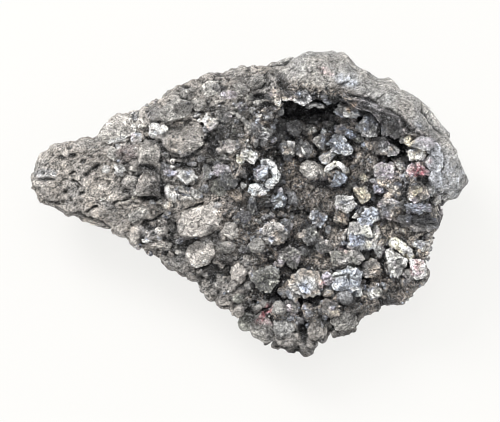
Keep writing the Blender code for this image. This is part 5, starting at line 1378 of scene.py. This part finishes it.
class NodeSheet:
    """A node tree being laid out."""

    def __init__(self, tree: bpy.types.NodeTree) -> None:
        """Keeps the tree."""
        self.tree = tree

    def add(self, kind: str, inputs: dict[str | int, object] | None = None, **settings: object) -> bpy.types.Node:
        """Adds one node.

        Args:
            kind: the node's type, without the leading ShaderNode.
            inputs: sockets by name or number, each a value or an output socket to link from.
            settings: the node's own settings.

        Returns:
            The node.
        """
        node = self.tree.nodes.new("ShaderNode" + kind)
        for key, value in settings.items():
            setattr(node, key, value)
        for key, value in (inputs or {}).items():
            if isinstance(value, bpy.types.NodeSocket):
                self.tree.links.new(value, node.inputs[key])
            else:
                node.inputs[key].default_value = value
        return node

    def math(self, operation: str, *values: object) -> bpy.types.NodeSocket:
        """The result of a sum on numbers or sockets."""
        return self.add("Math", dict(enumerate(values)), operation=operation).outputs[0]

    def ramp(
        self, value: object, low: float, high: float, to_low: object = 0.0, to_high: object = 1.0,
    ) -> bpy.types.NodeSocket:
        """A value carried smoothly from one range to another."""
        inputs = {"Value": value, "From Min": low, "From Max": high, "To Min": to_low, "To Max": to_high}
        return self.add("MapRange", inputs, interpolation_type="SMOOTHSTEP").outputs[0]

    def mix(self, share: object, first: object, second: object, blend: str = "MIX") -> bpy.types.NodeSocket:
        """Two colours laid over each other."""
        node = self.add("Mix", {0: share, 6: first, 7: second}, data_type="RGBA", blend_type=blend)
        return node.outputs[2]


class SharedEffects:
    """The node groups that more than one finish uses, each built once."""

    def _group(self, name: str, inputs: dict[str, float], outputs: Sequence[str]) -> bpy.types.NodeTree:
        """An empty group with named number sockets."""
        tree = bpy.data.node_groups.new(name, "ShaderNodeTree")
        for key, value in inputs.items():
            tree.interface.new_socket(key, in_out="INPUT", socket_type="NodeSocketFloat").default_value = value
        for key in outputs:
            tree.interface.new_socket(key, in_out="OUTPUT", socket_type="NodeSocketFloat")
        return tree

    @cached_property
    def grain(self) -> bpy.types.NodeTree:
        """Grains of stone: a shade about 1, a height, and the few grains that catch the light."""
        tree = self._group("stone grain", {"Size": 0.6, "Contrast": 0.5}, ("Shade", "Height", "Glint"))
        sheet = NodeSheet(tree)
        given = tree.nodes.new("NodeGroupInput")
        place = sheet.add("TexCoord").outputs["Object"]
        scale = sheet.math("DIVIDE", 1000.0, given.outputs["Size"])
        scaled = sheet.add("VectorMath", {0: place, "Scale": scale}, operation="SCALE").outputs[0]
        cloud = sheet.add("TexNoise", {"Vector": scaled, "Scale": 0.8, "Detail": 5.0, "Roughness": 0.7}).outputs[0]
        grains = sheet.add("TexVoronoi", {"Vector": scaled, "Scale": 1.5})
        small = sheet.add("TexVoronoi", {"Vector": scaled, "Scale": 3.2})
        split = sheet.add("SeparateColor", {0: grains.outputs["Color"]})
        fine_split = sheet.add("SeparateColor", {0: small.outputs["Color"]})
        clouded = sheet.math("MULTIPLY", sheet.math("SUBTRACT", cloud, 0.5), 2.4)
        uneven = sheet.math("ADD", clouded, sheet.math("SUBTRACT", split.outputs[0], 0.5))
        small_shade = sheet.math("MULTIPLY", sheet.math("SUBTRACT", fine_split.outputs[0], 0.5), 0.9)
        uneven = sheet.math("ADD", uneven, small_shade)
        uneven = sheet.math("ADD", uneven, sheet.math("MULTIPLY", sheet.ramp(split.outputs[1], 0.86, 0.92), 0.45))
        shade = sheet.math("ADD", sheet.math("MULTIPLY", uneven, given.outputs["Contrast"]), 0.97)
        shade = sheet.math("MINIMUM", sheet.math("MAXIMUM", shade, 0.06), 2.2)
        height = sheet.math("MULTIPLY", cloud, 1.3)
        for cells, weight in ((grains, 0.5), (small, 0.25)):
            height = sheet.math("SUBTRACT", height, sheet.math("MULTIPLY", cells.outputs["Distance"], weight))
        glint = sheet.ramp(fine_split.outputs[1], 0.90, 0.94)
        given_out = tree.nodes.new("NodeGroupOutput")
        for key, socket in (("Shade", shade), ("Height", height), ("Glint", glint)):
            tree.links.new(socket, given_out.inputs[key])
        return tree

    @cached_property
    def crevices(self) -> bpy.types.NodeTree:
        """Painted shade down in the crevices and painted highlight on the ridges, as one factor on the colour."""
        tree = self._group("crevices and ridges", {"Deep": 0.3, "Ridge": 1.4}, ("Factor", "Proud"))
        sheet = NodeSheet(tree)
        given = tree.nodes.new("NodeGroupInput")
        relief = sheet.add("Attribute", attribute_name="relief").outputs["Fac"]
        down = sheet.ramp(relief, 0.12, 0.52, given.outputs["Deep"], 1.0)
        up = sheet.ramp(relief, 0.50, 0.92, 1.0, given.outputs["Ridge"])
        given_out = tree.nodes.new("NodeGroupOutput")
        tree.links.new(sheet.math("MULTIPLY", down, up), given_out.inputs["Factor"])
        tree.links.new(sheet.ramp(relief, 0.50, 0.92), given_out.inputs["Proud"])
        return tree


EFFECTS = SharedEffects()


@dataclass(frozen=True)
class StoneFinish:
    """One finish of the stone. Sizes are in mm, and roughness runs from dull to polished."""

    name: str
    grain: float
    contrast: float
    bump: float
    # deep and ridge set the painted shade in the crevices and the painted highlight on the ridges.
    deep: float
    ridge: float
    dull: float
    polished: float
    metallic: float
    ior: float
    glint: float

    def build(self) -> bpy.types.Material:
        """Lays out the material."""
        material = bpy.data.materials.new(self.name)
        material.use_nodes = True
        sheet = NodeSheet(material.node_tree)
        shader = material.node_tree.nodes["Principled BSDF"]
        colour = sheet.add("Attribute", attribute_name="stone_colour").outputs["Color"]
        gloss = sheet.add("Attribute", attribute_name="gloss").outputs["Fac"]
        grain = sheet.add("Group", node_tree=EFFECTS.grain)
        grain.inputs["Size"].default_value = self.grain
        grain.inputs["Contrast"].default_value = self.contrast
        crevices = sheet.add("Group", node_tree=EFFECTS.crevices)
        crevices.inputs["Deep"].default_value = self.deep
        crevices.inputs["Ridge"].default_value = self.ridge
        factor = sheet.math("MULTIPLY", grain.outputs["Shade"], crevices.outputs["Factor"])
        grey = sheet.add("CombineColor", {0: factor, 1: factor, 2: factor}).outputs[0]
        shaded = sheet.mix(1.0, colour, grey, "MULTIPLY")
        # Painted glints: the glinting grains are mixed towards a pale grey in the base colour, and made less rough.
        glint = sheet.math("MULTIPLY", grain.outputs["Glint"], self.glint)
        base = sheet.mix(glint, shaded, (0.66, 0.67, 0.70, 1.0))
        rough = sheet.ramp(gloss, 0.0, 1.0, self.dull, self.polished)
        rough = sheet.math("SUBTRACT", rough, sheet.math("MULTIPLY", glint, 0.35))
        duller = sheet.math("MULTIPLY", sheet.math("SUBTRACT", grain.outputs["Shade"], 1.0), -0.12)
        rough = sheet.math("ADD", rough, duller)
        rough = sheet.math("MINIMUM", sheet.math("MAXIMUM", rough, 0.10), 0.95)
        links = material.node_tree.links
        links.new(base, shader.inputs["Base Color"])
        links.new(rough, shader.inputs["Roughness"])
        links.new(sheet.math("MULTIPLY", gloss, self.metallic), shader.inputs["Metallic"])
        bump = sheet.add("Bump", {"Strength": self.bump, "Distance": 0.0003, "Height": grain.outputs["Height"]})
        links.new(bump.outputs[0], shader.inputs["Normal"])
        shader.inputs["IOR"].default_value = self.ior
        return material


ROCK_FINISH = StoneFinish("host rock", 0.40, 1.10, 1.00, 0.20, 1.50, 0.90, 0.50, 0.10, 1.55, 0.45)
FLOOR_FINISH = StoneFinish("gritty floor", 0.40, 2.70, 1.00, 0.14, 1.80, 0.85, 0.35, 0.20, 1.60, 0.70)
CRYSTAL_FINISH = StoneFinish("proustite crystal", 0.40, 1.35, 0.80, 0.26, 1.50, 0.55, 0.20, 0.50, 2.20, 0.45)
GLITTER_FINISH = StoneFinish("tiny crystals", 0.50, 0.40, 0.30, 0.60, 1.30, 0.50, 0.16, 0.55, 2.20, 0.40)
NODULE_FINISH = StoneFinish("pale nodule", 0.40, 0.85, 0.80, 0.30, 1.20, 0.75, 0.40, 0.05, 1.55, 0.25)


@dataclass
class Piece:
    """One finished piece: its shell, its finish, the record's slot, and the nodes of the solids that it replaces."""

    name: str
    shell: Shell
    finish: StoneFinish
    slot: str
    nodes: tuple[str, ...] = ()
    smooth: bool = False

    def place(self, surroundings: Surroundings, made: dict[str, bpy.types.Material]) -> None:
        """Makes the object, dresses it and sets it on the body.

        Args:
            surroundings: what stands round it.
            made: the materials made so far, by finish.
        """
        hollow = self.slot == "vug_crystals"
        front = 1.0 if hollow else smoothstep(-0.1, 0.5, self.shell.normals()[:, 2])
        # Painted shade and light: the colour is darkened deep among its surroundings, and lightened or darkened at the
        # places of painted light and shade.
        light = surroundings.light(self.shell, front) ** (0.5 if self.finish is GLITTER_FINISH else 1.0)
        colour = self.shell.colour * (light * shading(self.shell.points))[:, None]
        deepened = np.minimum(colour.mean(axis=1, keepdims=True) / MIDDLE_TONE, 1.0) ** DEEPENING
        self.shell.colour = np.clip(colour * deepened, DARKEST, LIGHTEST)
        obj = self.shell.make(self.name)
        if self.smooth:
            obj.data.shade_smooth()
        if self.finish.name not in made:
            made[self.finish.name] = self.finish.build()
        obj.data.materials.append(made[self.finish.name])
        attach(obj, "root")
        if self.nodes:
            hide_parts(*self.nodes)
        LOG.info("%s: %d faces, slot %s, for %s", self.name, len(self.shell.faces), self.slot, self.nodes or "no node")


@dataclass
class HostRock:
    """The host rock and the floor of its hollow."""

    skin: Skin

    def pieces(self) -> list[Piece]:
        """Both parts of the skin."""
        lining = self.skin.hollow > 0.5
        rock, floor = self.skin.part(~lining), self.skin.part(lining)
        return [
            Piece("host_rock_skin", rock, ROCK_FINISH, "host_rock", ("host_rock",), smooth=True),
            Piece("hollow_floor", floor, FLOOR_FINISH, "vug_crystals", ("vug_crystals",)),
        ]


@dataclass
class HollowCrystals:
    """The crystals of the hollow, from the ones that can be told apart to the finest glitter."""

    skin: Skin
    fillers: int = 300
    glitter: int = 5600
    tries: int = 14000
    upper_from: float = 4.0
    broken_edge: tuple[float, float] = (24.0, -22.5)
    feet: list[tuple[float, ...]] = field(default_factory=list)

    def pieces(self) -> list[Piece]:
        """All of them, by size."""
        forge = CrystalForge(5)
        grown = {
            "hollow_crystals_upper": [self._place(forge, row) for row in HOLLOW_CRYSTALS if row[1] >= self.upper_from],
            "hollow_crystals_lower": [self._place(forge, row) for row in HOLLOW_CRYSTALS if row[1] < self.upper_from],
            "hollow_crests": [forge.crest(path, self.skin, half, tint) for half, tint, path in CRESTS],
            "hollow_small_crystals": self._fill(forge),
        }
        made = [Piece(name, joined(bodies), CRYSTAL_FINISH, "vug_crystals") for name, bodies in grown.items()]
        return made + [Piece("hollow_glitter", self._glitter(forge), GLITTER_FINISH, "vug_crystals")]

    def _place(self, forge: CrystalForge, row: tuple) -> Shell:
        """Grows one of the listed crystals on the skin."""
        u, v, width, breadth, form, tint, *turn = row
        foot, normal = self.skin.foot(u, v)
        outward = normal * 0.30 + np.array((0.0, 0.0, 1.0)) + forge.dice.uniform(-0.15, 0.15, 3)
        self.feet.append((*foot, 0.25 * (width + breadth)))
        larger = 1.06 if form is R else 1.16
        tall = 0.85 * (width + breadth) / 2.0
        growth = Growth(width * larger, breadth * larger, tall, form, tint, *turn)
        return forge.grow(growth, foot, unit(outward), 5 if width + breadth > 6.6 else 4)

    def _fill(self, forge: CrystalForge) -> list[Shell]:
        """Small crystals wherever the listed ones leave room."""
        points, normals = self.skin.shell.points, self.skin.shell.normals()
        open_floor = np.flatnonzero(self.skin.hollow > 0.6)
        lip_shadow = self.skin.zones()["lip_shadow"]
        below = below_lip(points)
        gaps = smoothstep(0.0, 0.3, swell(points, 5.0, 57, 2))
        tints = (Tint.STEEL, Tint.DARK, Tint.GREY, Tint.BLUE, Tint.OLIVE, Tint.TAN, Tint.ICE)
        taken = list(self.feet)
        grown: list[Shell] = []
        for index in forge.dice.permutation(open_floor)[:self.tries]:
            place = points[index]
            size = float(0.8 + 1.7 * forge.dice.random() ** 1.6)
            others = np.array(taken)
            if (np.linalg.norm(others[:, :3] - place, axis=1) < 0.78 * others[:, 3] + 0.30 * size).any():
                continue
            if bare_share(place[None])[0] > 0.4 or (place[0] > 4.0 and below[index] < 0.8) or gaps[index] > 0.3:
                continue
            taken.append((*place, 0.5 * size))
            outward = normals[index] * 0.8 + np.array((0.0, 0.0, 0.6)) + forge.dice.uniform(-0.3, 0.3, 3)
            form = (B, L, G, C)[int(forge.dice.choice(4, p=(0.5, 0.2, 0.2, 0.1)))]
            tint = tints[int(forge.dice.choice(7, p=(0.30, 0.22, 0.22, 0.07, 0.08, 0.06, 0.05)))]
            # Crystals in the shadow under the lip are made dark: painted shadow.
            tint = Tint.DARK if lip_shadow[index] > 0.3 else tint
            growth = Growth(size, size * float(forge.dice.uniform(0.7, 1.2)), size * 0.9, form, tint, sunk=0.3)
            body = forge.grow(growth, place, unit(outward), 3)
            if place[0] < self.broken_edge[0] or place[1] > self.broken_edge[1]:
                grown.append(body)
            if len(grown) == self.fillers:
                break
        return grown

    def _glitter(self, forge: CrystalForge) -> Shell:
        """The tiniest crystals, strewn over the floor of the hollow and thinly over the shoulder."""
        points, normals = self.skin.shell.points, self.skin.shell.normals()
        zone = self.skin.zones()
        beside = falling(2.0, 26.0, np.hypot(points[:, 0] - 2.0, points[:, 1] - 2.0) - 14.0)
        chance = self.skin.hollow * (1.0 - 0.35 * bare_share(points))
        level = (normals[:, 2] > 0.45) & (points[:, 1] < 24.0)
        chance = chance + 0.20 * beside * (1.0 - self.skin.hollow) * (1.0 - zone["rim"]) * level
        chosen = forge.dice.choice(len(points), self.glitter, replace=False, p=chance / chance.sum())
        sizes = 0.20 + 0.55 * forge.dice.random(self.glitter) ** 2.0
        colours = np.array([tint.value for tint in (Tint.STEEL, Tint.DARK, Tint.GREY, Tint.PALE, Tint.WHITE, Tint.ICE)])
        picked = forge.dice.choice(6, self.glitter, p=(0.27, 0.30, 0.17, 0.10, 0.10, 0.06))
        colour = colours[picked] * forge.dice.uniform(0.7, 1.25, (self.glitter, 1))
        # Painted shadow under the lip on the tiniest crystals.
        colour = colour * (1.0 - 0.85 * zone["lip_shadow"][chosen])[:, None]
        return forge.scatter(points[chosen], normals[chosen], sizes, colour)


@dataclass
class ShoulderCrystals:
    """The lone crystals and nodules of the shoulder, and the knobs of the rock round them."""

    skin: Skin
    knobs: int = 70
    lobe: tuple[float, ...] = (3.1, 2.9, -0.6, 4.2, 4.4, 4.4)
    set_down: tuple[tuple[str, float], ...] = (("bright_crystal", -0.8), ("pale_square_crystal", -0.9))

    def pieces(self) -> list[Piece]:
        """All of them, each lone one as a piece of its own."""
        forge = CrystalForge(29)
        made = []
        for name, (_, _, width, breadth, height, form, tint, turn, sunk) in SHOULDER_CRYSTALS.items():
            low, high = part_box(name)
            middle = DISPLAY.from_row(np.array((low + high) / 2.0)[None])[0]
            outward = np.array((0.0, 0.0, 1.0))
            growth = Growth(width, breadth, height, form, tint, turn, sunk)
            middle = middle + np.array((0.0, dict(self.set_down).get(name, 0.0), 0.0))
            body = forge.grow(growth, middle - outward * height * (0.5 - sunk), outward, 6 if width > 8 else 5)
            if name == "large_pale_nodule":
                lobe = Growth(*self.lobe[3:], form, tint, turn, 0.5)
                body = joined([body, forge.grow(lobe, middle + np.array(self.lobe[:3]), outward, 5)])
            slot = {Tint.PALE: "pale_nodule"}.get(tint, "grey_nodule") if form is R else "pale_crystal"
            finish = NODULE_FINISH if form is R else CRYSTAL_FINISH
            made.append(Piece(name + "_body", body, finish, slot, (name,)))
        lumps = [self._place(forge, row) for row in ROCK_CRYSTALS if row[4] is K]
        listed = [self._place(forge, row) for row in ROCK_CRYSTALS if row[4] is not K]
        listed += [forge.crest(path, self.skin, half, tint) for half, tint, path in ROCK_CRESTS]
        made.append(Piece("rock_lumps", joined(lumps), ROCK_FINISH, "host_rock"))
        made.append(Piece("rock_crystals", joined(listed), CRYSTAL_FINISH, "grey_nodule"))
        made.append(Piece("rock_knobs", joined(self._knobs(forge)), ROCK_FINISH, "host_rock"))
        return made

    def _place(self, forge: CrystalForge, row: tuple) -> Shell:
        """Grows one of the listed crystals on the rock."""
        u, v, width, breadth, form, tint, *turn = row
        foot, normal = self.skin.foot(u, v)
        outward = normal * 0.5 + np.array((0.0, 0.0, 1.0))
        growth = Growth(width, breadth, 0.7 * (width + breadth) / 2.0, form, tint, *turn, sunk=0.42)
        return forge.grow(growth, foot, unit(outward), 5 if width + breadth > 8.0 else 4)

    def _knobs(self, forge: CrystalForge) -> list[Shell]:
        """Rounded knobs and small crystals over the shoulder."""
        points, normals = self.skin.shell.points, self.skin.shell.normals()
        u, v, _ = points.T
        band = (u > -27.0) & (u < 3.0) & (v > -13.0) & (v < 25.0) & (normals[:, 2] > 0.15) & (self.skin.hollow < 0.3)
        tints = (Tint.ROCK, Tint.GREY, Tint.STEEL, Tint.PALE, Tint.OLIVE)
        taken = [(row[0], row[1], 0.5 * row[2]) for row in ROCK_CRYSTALS]
        taken += [(row[0], row[1], 0.5 * row[2]) for row in SHOULDER_CRYSTALS.values()]
        taken += [(row[0], row[1], 0.9 * row[2]) for row in SMOOTH_BOULDERS]
        grown: list[Shell] = []
        for index in forge.dice.permutation(np.flatnonzero(band)):
            place = points[index]
            size = float(forge.dice.uniform(0.9, 2.6))
            others = np.array(taken)
            if (np.hypot(others[:, 0] - place[0], others[:, 1] - place[1]) < others[:, 2] + 0.45 * size).any():
                continue
            taken.append((place[0], place[1], 0.5 * size))
            outward = normals[index] + np.array((0.0, 0.0, 0.5))
            form = (K, K, B, G)[int(forge.dice.integers(4))]
            tint = tints[int(forge.dice.choice(5, p=(0.34, 0.26, 0.20, 0.12, 0.08)))]
            growth = Growth(size, size * float(forge.dice.uniform(0.7, 1.1)), size * 0.75, form, tint, sunk=0.45)
            grown.append(forge.grow(growth, place, unit(outward), 3))
            if len(grown) == self.knobs:
                break
        return grown


@dataclass(frozen=True)
class Softbox:
    """One square soft light: where it hangs from the middle of the specimen, in metres, its size and watts."""

    name: str
    towards: tuple[float, float, float]
    size: float
    watts: float
    colour: tuple[float, float, float]

    def hang(self, middle: Array) -> None:
        """Hangs the light so that it faces the specimen."""
        lamp = bpy.data.lights.new(self.name, "AREA")
        lamp.size = self.size
        lamp.energy = self.watts
        lamp.color = self.colour
        obj = linked(self.name, lamp)
        obj.location = Vector(middle) + Vector(self.towards)
        obj.rotation_euler = Vector(self.towards).to_track_quat("Z", "Y").to_euler()


@dataclass
class Studio:
    """The pale floor, the soft lights and the camera."""

    lens: float = 300.0
    sensor: float = 36.0
    width_mm: float = 115.0
    middle: tuple[float, float, float] = (0.0, -1.90, 4.0)
    world: float = 0.72
    floor_glow: float = 0.815
    filter_px: float = 0.90
    softboxes: tuple[Softbox, ...] = (
        Softbox("overhead", (-0.10, 0.25, 0.95), 0.75, 6.0, (1.0, 0.99, 0.97)),
        Softbox("key", (-0.42, 0.50, 0.62), 0.36, 7.5, (1.0, 0.985, 0.96)),
        Softbox("side", (0.70, 0.10, 0.45), 0.30, 0.9, (0.93, 0.96, 1.0)),
    )

    def build(self) -> None:
        """Sets up everything round the specimen."""
        scene = bpy.context.scene
        scene.view_settings.view_transform = "Standard"
        scene.cycles.filter_width = self.filter_px
        self._floor()
        self._sky(scene)
        middle = DISPLAY.to_row(np.array([self.middle]))[0]
        for softbox in self.softboxes:
            softbox.hang(middle)
        self._camera(scene, middle)

    def _floor(self) -> None:
        """A pale sheet that the specimen lies on."""
        mesh = bpy.data.meshes.new("floor")
        reach = 4.0
        corners = [(-reach, -reach, 0), (reach, -reach, 0), (reach, reach, 0), (-reach, reach, 0)]
        mesh.from_pydata(corners, [], [(0, 1, 2, 3)])
        floor = linked("floor", mesh)
        material = bpy.data.materials.new("white card")
        material.use_nodes = True
        sheet = NodeSheet(material.node_tree)
        shader = material.node_tree.nodes["Principled BSDF"]
        place = sheet.add("TexCoord").outputs["Object"]
        cloud = sheet.add("TexNoise", {"Vector": place, "Scale": 900.0, "Detail": 3.0}).outputs[0]
        tone = sheet.mix(cloud, (0.079, 0.078, 0.077, 1.0), (0.081, 0.080, 0.079, 1.0))
        material.node_tree.links.new(tone, shader.inputs["Base Color"])
        shader.inputs["Emission Color"].default_value = (1.0, 0.995, 0.975, 1.0)
        shader.inputs["Emission Strength"].default_value = self.floor_glow
        shader.inputs["Roughness"].default_value = 0.9
        mesh.materials.append(material)

    def _sky(self, scene: bpy.types.Scene) -> None:
        """An even pale surround."""
        world = bpy.data.worlds.new("surround")
        scene.world = world
        world.use_nodes = True
        background = world.node_tree.nodes["Background"]
        background.inputs["Color"].default_value = (1.0, 0.995, 0.98, 1.0)
        background.inputs["Strength"].default_value = self.world

    def _camera(self, scene: bpy.types.Scene, middle: Array) -> None:
        """A long lens that looks along the display frame's own axis."""
        data = bpy.data.cameras.new("camera")
        data.lens = self.lens
        data.sensor_width = self.sensor
        data.clip_end = 20.0
        camera = linked("camera", data)
        away = self.width_mm * MM * self.lens / data.sensor_width
        camera.location = Vector(middle) + Vector(DisplayFrame.axes[:, 2]) * away
        camera.rotation_euler = (LEAN, 0.0, 0.0)
        scene.camera = camera


def main() -> None:
    """Builds the specimen and its studio in order."""
    logging.basicConfig(level=logging.INFO, format="%(name)s %(message)s")
    skin = Skin()
    pieces = HostRock(skin).pieces() + HollowCrystals(skin).pieces() + ShoulderCrystals(skin).pieces()
    surroundings = Surroundings([piece.shell for piece in pieces])
    made: dict[str, bpy.types.Material] = {}
    for piece in pieces:
        piece.place(surroundings, made)
    Studio().build()


if __name__ == "__main__":
    main()
